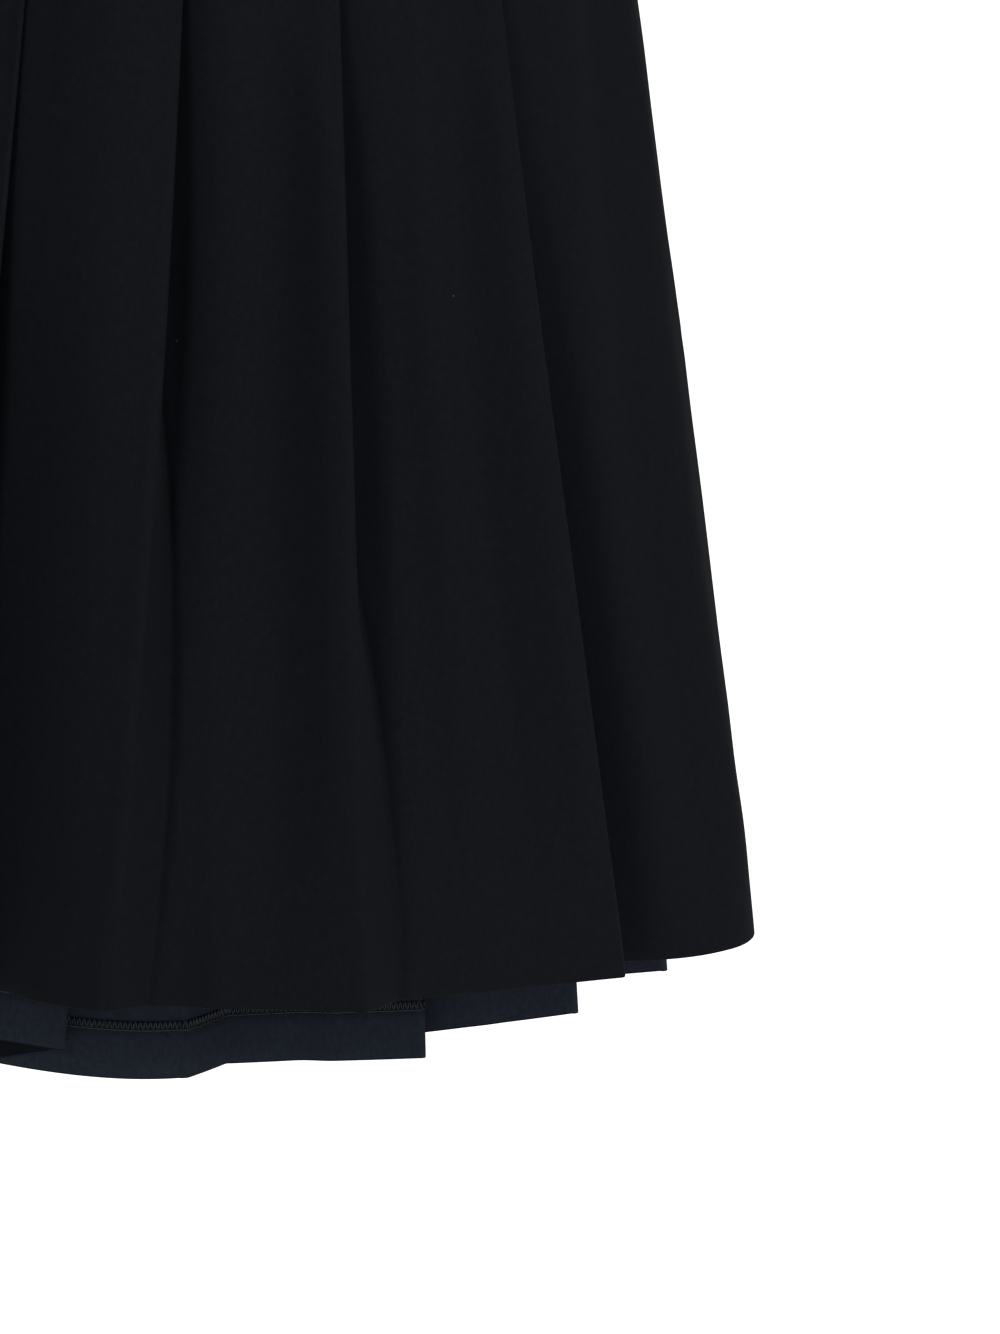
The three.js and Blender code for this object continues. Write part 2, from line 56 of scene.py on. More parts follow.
def mix(a: float | Array, b: float | Array, t: float | Array) -> float | Array:
    """Returns the value t of the way from a to b."""
    return a + (b - a) * t


def smoothstep(t: float | Array) -> float | Array:
    """Returns a smooth rise from 0 to 1 as t goes from 0 to 1, flat beyond."""
    x = np.clip(t, 0.0, 1.0)
    return x * x * (3 - 2 * x)


def arch(t: float | Array) -> float | Array:
    """Returns an arch that rises from 0 to 1 and falls back to 0 as t goes from 0 to 1."""
    return 4 * t * (1 - t)


@dataclass(frozen=True)
class Section:
    """The form's level section at one height: an ellipse through the pleats' outer edges."""

    down: float
    half_width: float
    half_depth: float


@dataclass(frozen=True)
class Pleat:
    """One knife pleat, as the frame's solid has it.

    waist and hem place its fold edge, in pitches. swing is how far its underlay has swung in at the
    hem, in degrees, opens is the height where that starts, and underlay is its length at the hem.
    set moves the fold edge out at the hem, and belly is how soon the next panel comes back out.
    """

    waist: float
    hem: float
    swing: float
    opens: float
    underlay: float
    set: float
    belly: float


@dataclass(frozen=True)
class Relief:
    """A soft ridge, or with a negative height a trough, that runs down one panel of the cloth.

    across is its place from the fold edge before it (0) to the next one (1), top and foot where it
    starts and ends, lean how far its place moves from top to foot, and width its half width. A
    pressed one is an old crease with a sharp top.
    """

    pleat: int
    across: float
    lean: float
    top: float
    foot: float
    width: float
    height: float
    pressed: bool = False


SECTIONS = (
    Section(0, 131, 96),
    Section(34, 134, 98),
    Section(100, 155, 113),
    Section(200, 180, 130),
    Section(280, 190, 138),
    Section(400, 206, 147),
    Section(520, 224, 155),
    Section(640, 242, 162),
    Section(750, 259, 168),
    Section(860, 273, 174),
)

PLEATS = (
    Pleat(-1.27, -1.55, 66, 200, 48, -4, 1.2),
    Pleat(-0.335, -0.62, 136, 130, 26, -4, 1.0),
    Pleat(0.487, 0.485, 130, 150, 38, 0, 1.0),
    Pleat(1.36, 1.88, 136, 160, 46, -28, 2.3),
    Pleat(2.83, 3.45, 58, 200, 48, 0, 2.2),
    Pleat(4.0, 4.31, 12, 230, 48, -4, 2.0),
    Pleat(4.84, 4.84, 10, 210, 44, -2, 2.0),
    Pleat(5.68, 5.62, 12, 190, 48, -4, 2.0),
    Pleat(6.52, 6.16, 134, 170, 38, 0, 1.4),
    Pleat(7.36, 7.3, 24, 210, 48, -3, 2.2),
    Pleat(8.2, 8.12, 70, 180, 46, 0, 1.6),
    Pleat(9.05, 8.95, 44, 220, 48, -2, 2.2),
    Pleat(9.89, 9.72, 88, 170, 44, 0, 1.5),
)
LEFT_SEAM_PLEAT = 4
RIGHT_SEAM_PLEAT = 11


@dataclass(frozen=True)
class Cut:
    """The skirt's driving sizes."""

    side_length: float = 750
    back_dip: float = 102
    dip_shift: float = 0.5
    panel_top: float = 27.3
    cloth: float = 0.7
    hem_allowance: float = 30
    hem_gap: float = 0.12
    # A sewn seam is shut: the frame's solids stand 0.3 mm apart, which would let light through.
    seam_gap: float = 0.0
    layer_gap: float = 0.3
    zip_gap: float = 1.6
    zip_top: float = 36
    zip_end: float = 205
    zip_fade: float = 6
    # Above the slider the zip's edges draw together up to the band, which hides most of their slit.
    zip_shut: float = 34
    slider_top: float = 39

    def half_gap(self, zipped: bool, down: Array) -> Array:
        """Measures how far a panel's edge stands back from a side seam.

        Args:
            zipped: True for the seam that holds the zip.
            down: Distances below the waist.

        Returns:
            Half the gap between the two panels' edges, at each distance.
        """
        if not zipped:
            return np.full_like(down, self.seam_gap / 2)
        closed = smoothstep((down - self.zip_end) / self.zip_fade)
        closed += 1 - smoothstep((down - self.zip_shut) / (self.slider_top - self.zip_shut))
        return mix(self.zip_gap, self.seam_gap, closed) / 2


CUT = Cut()


@dataclass
class Form:
    """The skirt's form at one height, with places on it found by their distance round."""

    down: float
    steps: int = 720
    half_width: float = field(init=False)
    half_depth: float = field(init=False)
    lengths: Array = field(init=False)
    angles: Array = field(init=False)

    def __post_init__(self) -> None:
        """Measures the ellipse round from the middle of the front."""
        self.half_width = self.column([s.half_width for s in SECTIONS])
        self.half_depth = self.column([s.half_depth for s in SECTIONS])
        self.angles = np.linspace(0, 2 * math.pi, self.steps + 1)
        x = self.half_width * np.sin(self.angles)
        y = -self.half_depth * np.cos(self.angles)
        self.lengths = np.concatenate([[0], np.cumsum(np.hypot(np.diff(x), np.diff(y)))])

    def column(self, values: list[float]) -> float:
        """Reads a column of the sections at this height, on a smooth curve through its rows.

        Args:
            values: The column, a value for each section.

        Returns:
            The column's value.
        """
        downs = [s.down for s in SECTIONS]
        last = len(downs) - 2
        i = next((k for k in range(last + 1) if self.down <= downs[k + 1]), last)
        span = downs[i + 1] - downs[i]
        t = (self.down - downs[i]) / span

        def slope(a: int, b: int) -> float:
            """Returns the column's slope from row a to row b."""
            return (values[b] - values[a]) / (downs[b] - downs[a])

        start = slope(max(0, i - 1), i + 1) * span
        end = slope(i, min(last + 1, i + 2)) * span
        a, b = values[i], values[i + 1]
        return a + t * (start + t * (3 * (b - a) - 2 * start - end + t * (2 * (a - b) + start + end)))

    @property
    def round(self) -> float:
        """The length once round."""
        return float(self.lengths[-1])

    @property
    def pitch(self) -> float:
        """A twelfth of the way round."""
        return self.round / PITCHES_ROUND

    def angle_at(self, distance: Array) -> Array:
        """Finds places on the ellipse.

        Args:
            distance: Distances round from the middle of the front.

        Returns:
            The ellipse's own angle at each distance.
        """
        turns = np.floor(distance / self.round)
        rest = distance - turns * self.round
        return np.interp(rest, self.lengths, self.angles) + 2 * math.pi * turns

    def at(self, distance: Array, offset: Array) -> Array:
        """Finds level points from their distances round the form.

        Args:
            distance: Distances round from the middle of the front.
            offset: How far out from the form each point lies.

        Returns:
            One x and y for each distance, as rows.
        """
        angle = self.angle_at(np.asarray(distance, float))
        x, y = self.half_width * np.sin(angle), -self.half_depth * np.cos(angle)
        out_x, out_y = self.half_depth * np.sin(angle), -self.half_width * np.cos(angle)
        length = np.hypot(out_x, out_y)
        return np.stack([x + offset * out_x / length, y + offset * out_y / length], axis=-1)


@dataclass(frozen=True)
class PleatState:
    """How one pleat lies at one height, as distances round and offsets out from the form."""

    fold: float
    out: float
    swing: float
    radius: float
    underlay: float
    openness: float
    belly: float


@dataclass(frozen=True)
class PathPoints:
    """One pleat's cloth at one height.

    s and n are distances round and out, share runs from 0 to 1 with the cloth, and panel runs from
    0 at the inner crease to 1 at the next fold, or is negative off the panel.
    """

    s: Array
    n: Array
    share: Array
    panel: Array


@dataclass(frozen=True)
class PleatFolds:
    """How the pleats' cloth folds, with the sizes of the frame's solids, in finer steps."""

    underlay_waist: float = 40
    fold_radius: float = 1.1
    hem_fold_radius: float = 4.0
    straighten: float = 7
    fully_open_depth: float = 24
    rise_lead: float = 1.5
    longest_rise: float = 30
    shortest_rise: float = 6
    hem_rise_angle: float = 0.6
    least_hidden_share: float = 0.1
    panel_pitches: float = 1.25
    wide_swing: float = 130
    tuck_radii: float = 4
    fold_drift: float = 1.5
    set_drift: float = 3
    arc_steps: int = 5
    underlay_steps: int = 5
    hidden_steps: int = 3
    rise_steps: int = 6
    panel_steps: int = 28

    @property
    def points(self) -> int:
        """The number of points in one pleat."""
        return self.seam_point + 1 - self.rise_steps // 2 + self.rise_steps + self.panel_steps - 1

    @property
    def seam_point(self) -> int:
        """The point of a pleat where a side seam runs, in the middle of its rise."""
        folded = 2 * (self.arc_steps + 1) + self.underlay_steps - 1
        return folded + self.hidden_steps - 1 + self.rise_steps // 2

    def state(self, form: Form, index: int) -> PleatState:
        """Works out how a pleat lies on a level section.

        Args:
            form: The section.
            index: The pleat's number, counted on past the last one for another turn round.

        Returns:
            The pleat's state.
        """
        turn, row = divmod(index, len(PLEATS))
        pleat = PLEATS[row]
        along = min(1.0, form.down / CUT.side_length)
        place = mix(pleat.waist, pleat.hem, along**self.fold_drift) + turn * PITCHES_ROUND
        opened = float(smoothstep((form.down - pleat.opens) / (CUT.side_length - pleat.opens)))
        swing = math.radians(pleat.swing * opened)
        underlay = mix(self.underlay_waist, pleat.underlay, along)
        widened = opened * min(1.0, pleat.swing / self.wide_swing)
        return PleatState(
            fold=place * form.pitch,
            out=pleat.set * along**self.set_drift,
            swing=swing,
            radius=mix(self.fold_radius, self.hem_fold_radius, widened),
            underlay=underlay,
            openness=float(smoothstep(underlay * math.sin(swing) / self.fully_open_depth)),
            belly=pleat.belly,
        )

    def arc(self, start: tuple[float, float], heading: float, turn: float, radius: float) -> Array:
        """Draws an arc.

        Args:
            start: Where it starts.
            heading: The way it sets off, in radians.
            turn: How far it turns, in radians, to the left if that is positive.
            radius: Its radius.

        Returns:
            A row of distances round and a row of offsets out.
        """
        reach = math.copysign(radius, turn)
        centre_s = start[0] - reach * math.sin(heading)
        centre_n = start[1] + reach * math.cos(heading)
        facing = heading + turn * np.linspace(0, 1, self.arc_steps + 1)
        return np.stack([centre_s + reach * np.sin(facing), centre_n - reach * np.cos(facing)])

    def path(self, form: Form, index: int) -> PathPoints:
        """Lays out one pleat's cloth: its fold edge, underlay, inner crease and the next panel.

        Args:
            form: The level section that it lies on.
            index: The pleat's number.

        Returns:
            The points of its cloth.
        """
        here, after = self.state(form, index), self.state(form, index + 1)
        underlay_share = here.underlay / (here.underlay + self.panel_pitches * form.pitch)

        back = here.swing - math.pi
        edge = self.arc((here.fold - here.radius, here.out), 0.0, back, here.radius)
        reach = here.underlay - 2 * here.radius
        run = np.array([math.cos(back), math.sin(back)]) * reach
        leave = edge[:, -1]
        part = np.arange(1, self.underlay_steps) / self.underlay_steps
        underlay = leave[:, None] + run[:, None] * part
        crease = self.arc(tuple(leave + run), back, self.hem_rise_angle * here.openness - back, here.radius)

        start = crease[:, -1]
        end = (after.fold - after.radius, after.out)
        length = end[0] - start[0]
        single = after.fold - here.fold - after.underlay - 2 * self.rise_lead
        rise = min(self.longest_rise, max(self.shortest_rise, single)) / length
        shown = (here.fold + self.rise_lead - start[0]) / length
        first = max(shown, self.least_hidden_share)
        over_next = (after.fold - after.underlay - self.rise_lead - start[0]) / length
        settled = mix(max(over_next, first + rise), 1, after.openness)
        t = np.concatenate(
            [
                first * np.arange(1, self.hidden_steps + 1) / self.hidden_steps,
                first + rise * np.arange(1, self.rise_steps + 1) / self.rise_steps,
                np.linspace(first + rise, 1, self.panel_steps + 1)[1:-1],
            ]
        )
        behind = here.out - self.tuck_radii * here.radius
        hidden = start[1] + (behind - start[1]) * np.minimum(1, t / first)
        shut = hidden + (end[1] - hidden) * smoothstep((t - first) / rise)
        out = np.minimum(1, t / settled)
        opened = start[1] + (end[1] - start[1]) * (1 - (1 - out) ** here.belly)
        sag = self.straighten * here.openness * arch(out)
        n = shut + (opened - shut) * here.openness - sag

        off = -np.ones(self.arc_steps + 1)
        return PathPoints(
            s=np.concatenate([edge[0], underlay[0], crease[0], start[0] + length * t]),
            n=np.concatenate([edge[1], underlay[1], crease[1], n]),
            share=np.concatenate(
                [
                    np.zeros(self.arc_steps + 1),
                    underlay_share * part,
                    np.full(self.arc_steps + 1, underlay_share),
                    underlay_share + (1 - underlay_share) * t,
                ]
            ),
            panel=np.concatenate([off, -np.ones(len(part)), off, t]),
        )


FOLDS = PleatFolds()
HEM_FORM = Form(CUT.side_length)


def cloth_length(index: int, share: Array) -> Array:
    """Measures the cloth from the waist down to the hem, level in front and dipped behind.

    Args:
        index: The pleat's number.
        share: Places in that pleat's cloth.

    Returns:
        The cloth's length at each place.
    """
    fold = FOLDS.state(HEM_FORM, index).fold
    next_fold = FOLDS.state(HEM_FORM, index + 1).fold
    place = fold + (next_fold - fold) * share - CUT.dip_shift * HEM_FORM.pitch
    behind = np.maximum(0, -np.cos(HEM_FORM.angle_at(place)))
    return CUT.side_length + CUT.back_dip * behind**2


# The soft ridges and troughs that hang down the panels. Each panel lies between its pleat's fold edge,
# at its left as it is seen from outside, and the next one.
RELIEFS = (
    # Each front panel swells, dips before the next fold, and stands proud again along its edge.
    Relief(0, 0.22, 0.05, 120, 900, 18, -2.4),
    Relief(0, 0.62, 0.03, 40, 900, 24, 4.6),
    Relief(1, 0.27, -0.03, 40, 760, 18, 3.2),
    Relief(1, 0.63, 0.00, 40, 780, 17, -4.4),
    Relief(1, 0.88, 0.01, 60, 720, 9, 2.2),
    Relief(1, 0.33, 0.11, 560, 900, 7, 3.2, True),
    Relief(2, 0.20, 0.03, 120, 760, 12, 2.8),
    Relief(2, 0.47, -0.02, 60, 800, 14, 3.6),
    Relief(2, 0.69, -0.02, 40, 760, 13, -5.0),
    Relief(2, 0.90, 0.00, 60, 735, 8, 3.0),
    Relief(3, 0.28, 0.03, 60, 760, 14, 3.8),
    Relief(3, 0.50, 0.02, 120, 780, 14, -3.6),
    Relief(3, 0.74, -0.03, 180, 760, 14, 2.4),
    # The same soft hang at the sides and behind.
    Relief(4, 0.60, 0.03, 90, 740, 18, 1.8),
    Relief(4, 0.84, 0.02, 60, 730, 14, -2.0),
    Relief(5, 0.78, -0.03, 150, 760, 14, -1.8),
    Relief(6, 0.72, 0.04, 60, 700, 15, -2.0),
    Relief(7, 0.66, -0.02, 200, 800, 18, -1.8),
    Relief(8, 0.82, 0.02, 60, 780, 14, -2.2),
    Relief(8, 0.52, 0.02, 140, 800, 22, 1.6),
    Relief(9, 0.74, -0.03, 110, 720, 14, -2.0),
    Relief(10, 0.80, 0.03, 60, 760, 14, -2.2),
    Relief(10, 0.54, -0.02, 180, 740, 22, 1.5),
    Relief(11, 0.76, 0.02, 100, 730, 14, -2.0),
    Relief(12, 0.80, 0.02, 60, 740, 14, -2.2),
    Relief(12, 0.50, 0.02, 140, 720, 22, 1.6),
)


@dataclass(frozen=True)
class Wander:
    """Slow unevenness of hanging cloth, as waves of unlike lengths that never repeat together."""

    down_lengths: tuple[float, ...] = (173, 97, 61)
    across_lengths: tuple[float, ...] = (89, 47, 29)
    heights: tuple[float, ...] = (0.55, 0.3, 0.16)
    phase_step: float = 1.7
    across_phase: float = 0.9
    bend: float = 1.3

    def height(self, across: Array, down: float) -> Array:
        """Adds up the waves.

        Args:
            across: Distances along the cloth.
            down: The height, as a distance below the waist.

        Returns:
            How far out the cloth stands at each distance.
        """
        total = np.zeros_like(across)
        for k, (long, wide, high) in enumerate(zip(self.down_lengths, self.across_lengths, self.heights)):
            phase = self.phase_step * k
            turns = 2 * math.pi * down / long + self.bend * np.sin(across / wide) + phase
            total += high * np.sin(turns) * np.cos(across / wide + self.across_phase * phase)
        return total


WANDER = Wander()


@dataclass
class PleatedCloth:
    """The whole cloth of the panels once round, as level rows of points with what they are.

    points are the cloth's middle, outs its outward directions, along the distances along it, and
    rooms the space on the inside of its folds.
    """

    rows: int = 112
    sections: int = 300
    # A fold's outward directions are drawn out to keep its walls even, but no further than twice.
    sharpest_miter: float = 0.5
    # Off the folds nothing limits the cloth inside.
    open_room: float = 99.0
    # A ridge or trough fades in and out over these shares of its length.
    fade_in: float = 0.22
    fade_out: float = 0.16
    # The slow unevenness grows from below the waist down, and keeps off the fold edges.
    hang_top: float = 60
    hang_fade: float = 240
    inset_start: float = 0.18
    inset_end: float = 0.12
    # No relief moves a panel where it comes out from behind its fold edge.
    clear_start: float = 0.09
    widest_swing: float = math.radians(80)
    least_room: float = 0.2
    lengths: Array = field(init=False)
    parts: Array = field(init=False)
    downs: Array = field(init=False)
    points: Array = field(init=False)
    outs: Array = field(init=False)
    along: Array = field(init=False)
    rooms: Array = field(init=False)

    def __post_init__(self) -> None:
        """Works out the rows from the panels' top edge to the hem."""
        self.lengths = np.concatenate(
            [cloth_length(i, FOLDS.path(HEM_FORM, i).share) for i in range(len(PLEATS))]
        )
        self.parts = np.linspace(0, 1, self.rows)
        # Each point's height, for rows that stretch to the dipped hem.
        drop = self.lengths - CUT.panel_top
        self.downs = CUT.panel_top + self.parts[:, None] * drop[None, :]
        self.measure()

    @property
    def columns(self) -> int:
        """The number of points once round."""
        return len(PLEATS) * FOLDS.points

    def level(self, down: float) -> tuple[Array, Array, Array, Array]:
        """Takes the whole section at one height.

        Args:
            down: The height, as a distance below the waist.

        Returns:
            Points in x and y, unit outward directions with the fold's miter, distances along the
            cloth, and each point's room on the inside of its fold.
        """
        form = Form(down)
        paths = [FOLDS.path(form, i) for i in range(len(PLEATS))]
        s = np.concatenate([p.s for p in paths])
        n = np.concatenate([p.n + self.relief(i, p, down, form) for i, p in enumerate(paths)])
        level = form.at(s, n)
        before = level - np.roll(level, 1, axis=0)
        after = np.roll(level, -1, axis=0) - level
        steps = np.linalg.norm(before, axis=1)
        before /= steps[:, None]
        after /= np.linalg.norm(after, axis=1)[:, None]
        heading = before + after
        heading /= np.linalg.norm(heading, axis=1)[:, None]
        miter = 1 / np.maximum(self.sharpest_miter, (heading * after).sum(axis=1))
        out = np.stack([heading[:, 1], -heading[:, 0]], axis=1) * miter[:, None]
        edge = FOLDS.arc_steps + 1
        room = np.full((len(PLEATS), FOLDS.points), self.open_room)
        for i in range(len(PLEATS)):
            room[i, :edge] = FOLDS.state(form, i).radius
        return level, out, np.cumsum(steps), room.ravel()

    def relief(self, index: int, path: PathPoints, down: float, form: Form) -> Array:
        """Works out how far the soft ridges and troughs move one pleat's cloth.

        Args:
            index: The pleat's number.
            path: Its cloth.
            down: The height, as a distance below the waist.
            form: The level section there.

        Returns:
            How far out each point of the cloth moves.
        """
        total = np.zeros_like(path.s)
        on_panel = path.panel > 0
        here, after = FOLDS.state(form, index), FOLDS.state(form, index + 1)
        seen = (path.s - here.fold) / (after.fold - here.fold)
        for relief in RELIEFS:
            run = (down - relief.top) / (relief.foot - relief.top)
            if relief.pleat != index or not 0 < run < 1:
                continue
            fade = float(smoothstep(run / self.fade_in) * smoothstep((1 - run) / self.fade_out))
            centre = relief.across + relief.lean * run
            away = (seen - centre) * (after.fold - here.fold) / relief.width
            rise = np.exp(-np.abs(away)) if relief.pressed else np.exp(-(away**2))
            total += relief.height * fade * rise * on_panel
        hang = float(smoothstep((down - self.hang_top) / self.hang_fade))
        inset = smoothstep(seen / self.inset_start) * smoothstep((1 - seen) / self.inset_end)
        total += WANDER.height(path.s, down) * hang * inset * on_panel
        total *= smoothstep(seen / self.clear_start) * on_panel
        room = self.room_behind(after, after.fold - path.s)
        return np.where(total < 0, -room * np.tanh(-total / room), total)

    def room_behind(self, after: PleatState, before_fold: Array) -> Array:
        """Measures how far a panel can sink before it meets the next pleat's underlay behind it.

        Args:
            after: The next pleat.
            before_fold: Distances along the panel before that pleat's fold edge.

        Returns:
            The room behind each place.
        """
        closed = 2 * after.radius - CUT.cloth - CUT.layer_gap
        opening = math.tan(min(after.swing, self.widest_swing))
        return np.maximum(self.least_room, closed + np.maximum(0, before_fold) * opening)

    def measure(self) -> None:
        """Fills the rows' points, taking level sections and reading each column at its own height."""
        top, foot = CUT.panel_top, float(self.lengths.max())
        downs = np.linspace(top, foot, self.sections)
        levels = [self.level(float(d)) for d in downs]
        xy, out, along, room = (np.stack(values) for values in zip(*levels))
        place = (self.downs - top) / (foot - top) * (len(downs) - 1)
        low = np.clip(np.floor(place).astype(int), 0, len(downs) - 2)
        part = place - low
        column = np.arange(self.columns)[None, :]

        def read(values: Array) -> Array:
            """Returns the values of each column at its rows' heights."""
            share = part[..., None] if values.ndim == 3 else part
            return values[low, column] * (1 - share) + values[low + 1, column] * share

        self.points = np.concatenate([read(xy), -self.downs[..., None]], axis=2)
        self.outs = read(out)
        self.along = read(along)
        self.rooms = read(room)


def to_linear(hex_colour: int) -> tuple[float, float, float, float]:
    """Returns an sRGB hex colour as linear values with full alpha."""
    channels = [(hex_colour >> shift & 255) / 255 for shift in (16, 8, 0)]
    linear = [c / 12.92 if c <= 0.04045 else ((c + 0.055) / 1.055) ** 2.4 for c in channels]
    return (*linear, 1.0)


def add_node(
    tree: bpy.types.NodeTree, kind: str, settings: dict | None = None, links: dict | None = None
) -> bpy.types.Node:
    """Adds a shader node.

    Args:
        tree: The material's node tree.
        kind: The node's type name.
        settings: Values for the node's own properties, or for its input sockets by name or number.
        links: Output sockets of other nodes, by the input they go to.

    Returns:
        The new node.
    """
    node = tree.nodes.new(kind)
    for key, value in (settings or {}).items():
        if isinstance(key, str) and hasattr(node, key):
            setattr(node, key, value)
        else:
            node.inputs[key].default_value = value
    for key, socket in (links or {}).items():
        tree.links.new(socket, node.inputs[key])
    return node


def new_material(name: str) -> tuple[bpy.types.Material, bpy.types.NodeTree, bpy.types.Node]:
    """Returns a new material with its tree and its shader, already joined to the output."""
    material = bpy.data.materials.new(name)
    material.use_nodes = True
    tree = material.node_tree
    tree.nodes.clear()
    shader = add_node(tree, "ShaderNodeBsdfPrincipled")
    add_node(tree, "ShaderNodeOutputMaterial", links={"Surface": shader.outputs[0]})
    return material, tree, shader


# Blender's noise patterns keep to about this range.
NOISE_RANGE = {"From Min": 0.3, "From Max": 0.7}


@dataclass(frozen=True)
class WoolSuiting:
    """Worsted wool-blend suiting: a fine plain weave, pressed, with a faint nap.

    It reads as a matt near-black navy, with slight mottling, a soft sheen where it turns away, and a
    few specks of lint.
    """

    name: str
    dark: int = 0x0F1114
    light: int = 0x14161B
    lint: int = 0x30333A
    roughness: float = 0.9
    sheen: float = 0.012
    sheen_roughness: float = 0.45
    specular: float = 0.04
    # The real threads lie 0.35 mm apart, too fine for the render, so they are drawn 0.9 mm apart.
    thread: float = 0.9
    weave_share: float = 0.35
    # Uneven places in the threads, drawn out along the warp.
    slub: float = 1.5
    slub_stretch: float = 0.3
    mottle: float = 3.4
    mottle_share: float = 0.5
    # How far apart the specks of lint lie, and a speck's radius as a share of that.
    lint_spacing: float = 46
    lint_size: float = 0.016
    bump: float = 0.35
    bump_height: float = 0.25

    def build(self) -> bpy.types.Material:
        """Returns the material."""
        material, tree, shader = new_material(self.name)
        uv = add_node(tree, "ShaderNodeUVMap", {"uv_map": "cloth"}).outputs[0]
        place = add_node(tree, "ShaderNodeTexCoord").outputs["Object"]
        split = add_node(tree, "ShaderNodeSeparateXYZ", links={0: uv})
        threads = {"operation": "MULTIPLY", 1: 2 * math.pi / (self.thread * MM)}
        waves = []
        for axis in (0, 1):
            angle = add_node(tree, "ShaderNodeMath", threads, {0: split.outputs[axis]})
            waves.append(add_node(tree, "ShaderNodeMath", {"operation": "SINE"}, {0: angle.outputs[0]}))
        crossed = {0: waves[0].outputs[0], 1: waves[1].outputs[0]}
        weave = add_node(tree, "ShaderNodeMath", {"operation": "MULTIPLY"}, crossed)

        stretch = {"Scale": (1.0, self.slub_stretch, 1.0)}
        along_warp = add_node(tree, "ShaderNodeMapping", stretch, {"Vector": uv})
        uneven = {"Scale": 1 / (self.slub * MM), "Detail": 3.0, "Roughness": 0.6}
        slub = add_node(tree, "ShaderNodeTexNoise", uneven, {"Vector": along_warp.outputs[0]})
        clouds = {"Scale": 1 / (self.mottle * MM), "Detail": 4.0}
        mottle = add_node(tree, "ShaderNodeTexNoise", clouds, {"Vector": place})
        rest = {"operation": "MULTIPLY", 1: 1 - self.mottle_share}
        slub_tone = add_node(tree, "ShaderNodeMath", rest, {0: slub.outputs[0]})
        added = {"operation": "MULTIPLY_ADD", 1: self.mottle_share}
        tone = add_node(tree, "ShaderNodeMath", added, {0: mottle.outputs[0], 2: slub_tone.outputs[0]})
        full = {**NOISE_RANGE, "To Min": 0.0, "To Max": 1.0}
        spread = add_node(tree, "ShaderNodeMapRange", full, {"Value": tone.outputs[0]})
        shades = {"data_type": "RGBA", 6: to_linear(self.dark), 7: to_linear(self.light)}
        cloth = add_node(tree, "ShaderNodeMix", shades, {0: spread.outputs[0]})

        scattered = {"Scale": 1 / (self.lint_spacing * MM), "Randomness": 1.0}
        specks = add_node(tree, "ShaderNodeTexVoronoi", scattered, {"Vector": place})
        within = {"operation": "LESS_THAN", 1: self.lint_size}
        speck = add_node(tree, "ShaderNodeMath", within, {0: specks.outputs["Distance"]})
        lint = {"data_type": "RGBA", 7: to_linear(self.lint)}
        dusted = add_node(tree, "ShaderNodeMix", lint, {0: speck.outputs[0], 6: cloth.outputs[2]})
        tree.links.new(dusted.outputs[2], shader.inputs["Base Color"])

        woven = {"operation": "MULTIPLY_ADD", 1: self.weave_share}
        relief = add_node(tree, "ShaderNodeMath", woven, {0: weave.outputs[0], 2: slub.outputs[0]})
        raised = {"Strength": self.bump, "Distance": self.bump_height * MM}
        bump = add_node(tree, "ShaderNodeBump", raised, {"Height": relief.outputs[0]})
        tree.links.new(bump.outputs[0], shader.inputs["Normal"])
        shader.inputs["Roughness"].default_value = self.roughness
        shader.inputs["Sheen Weight"].default_value = self.sheen
        shader.inputs["Sheen Roughness"].default_value = self.sheen_roughness
        shader.inputs["Specular IOR Level"].default_value = self.specular
        return material


@dataclass(frozen=True)
class WovenTape:
    """Polyester zip tape, tightly woven: a dense, slightly satin navy."""

    name: str
    colour: int = 0x1B1F28
    roughness: float = 0.7
    rib: float = 0.8
    bump: float = 0.5
    bump_height: float = 0.15

    def build(self) -> bpy.types.Material:
        """Returns the material."""
        material, tree, shader = new_material(self.name)
        place = add_node(tree, "ShaderNodeTexCoord").outputs["Object"]
        scale = 1 / (self.rib * MM * 2 * math.pi)
        ribs = {"wave_type": "BANDS", "bands_direction": "Z", "Scale": scale}
        rib = add_node(tree, "ShaderNodeTexWave", ribs, {"Vector": place})
        raised = {"Strength": self.bump, "Distance": self.bump_height * MM}
        bump = add_node(tree, "ShaderNodeBump", raised, {"Height": rib.outputs[1]})
        tree.links.new(bump.outputs[0], shader.inputs["Normal"])
        shader.inputs["Base Color"].default_value = to_linear(self.colour)
        shader.inputs["Roughness"].default_value = self.roughness
        return material


@dataclass(frozen=True)
class SewingThread:
    """Spun polyester thread: a fine matt strand, a little lighter and darker along its twist."""

    name: str
    colour: int = 0x15181E
    roughness: float = 0.65
    twist: float = 0.8
    darkest: float = 0.75
    lightest: float = 1.25

    def build(self) -> bpy.types.Material:
        """Returns the material."""
        material, tree, shader = new_material(self.name)
        place = add_node(tree, "ShaderNodeTexCoord").outputs["Object"]
        twist = add_node(tree, "ShaderNodeTexNoise", {"Scale": 1 / (self.twist * MM)}, {"Vector": place})
        shades = {**NOISE_RANGE, "To Min": self.darkest, "To Max": self.lightest}
        tone = add_node(tree, "ShaderNodeMapRange", shades, {"Value": twist.outputs[0]})
        dyed = {"data_type": "RGBA", "blend_type": "MULTIPLY", 0: 1.0, 6: to_linear(self.colour)}
        colour = add_node(tree, "ShaderNodeMix", dyed, {7: tone.outputs[0]})
        tree.links.new(colour.outputs[2], shader.inputs["Base Color"])
        shader.inputs["Roughness"].default_value = self.roughness
        return material


@dataclass(frozen=True)
class MetalLook:
    """One metal's colour, how metallic it looks, and its least and greatest roughness."""

    colour: int
    metallic: float
    smoothest: float
    roughest: float


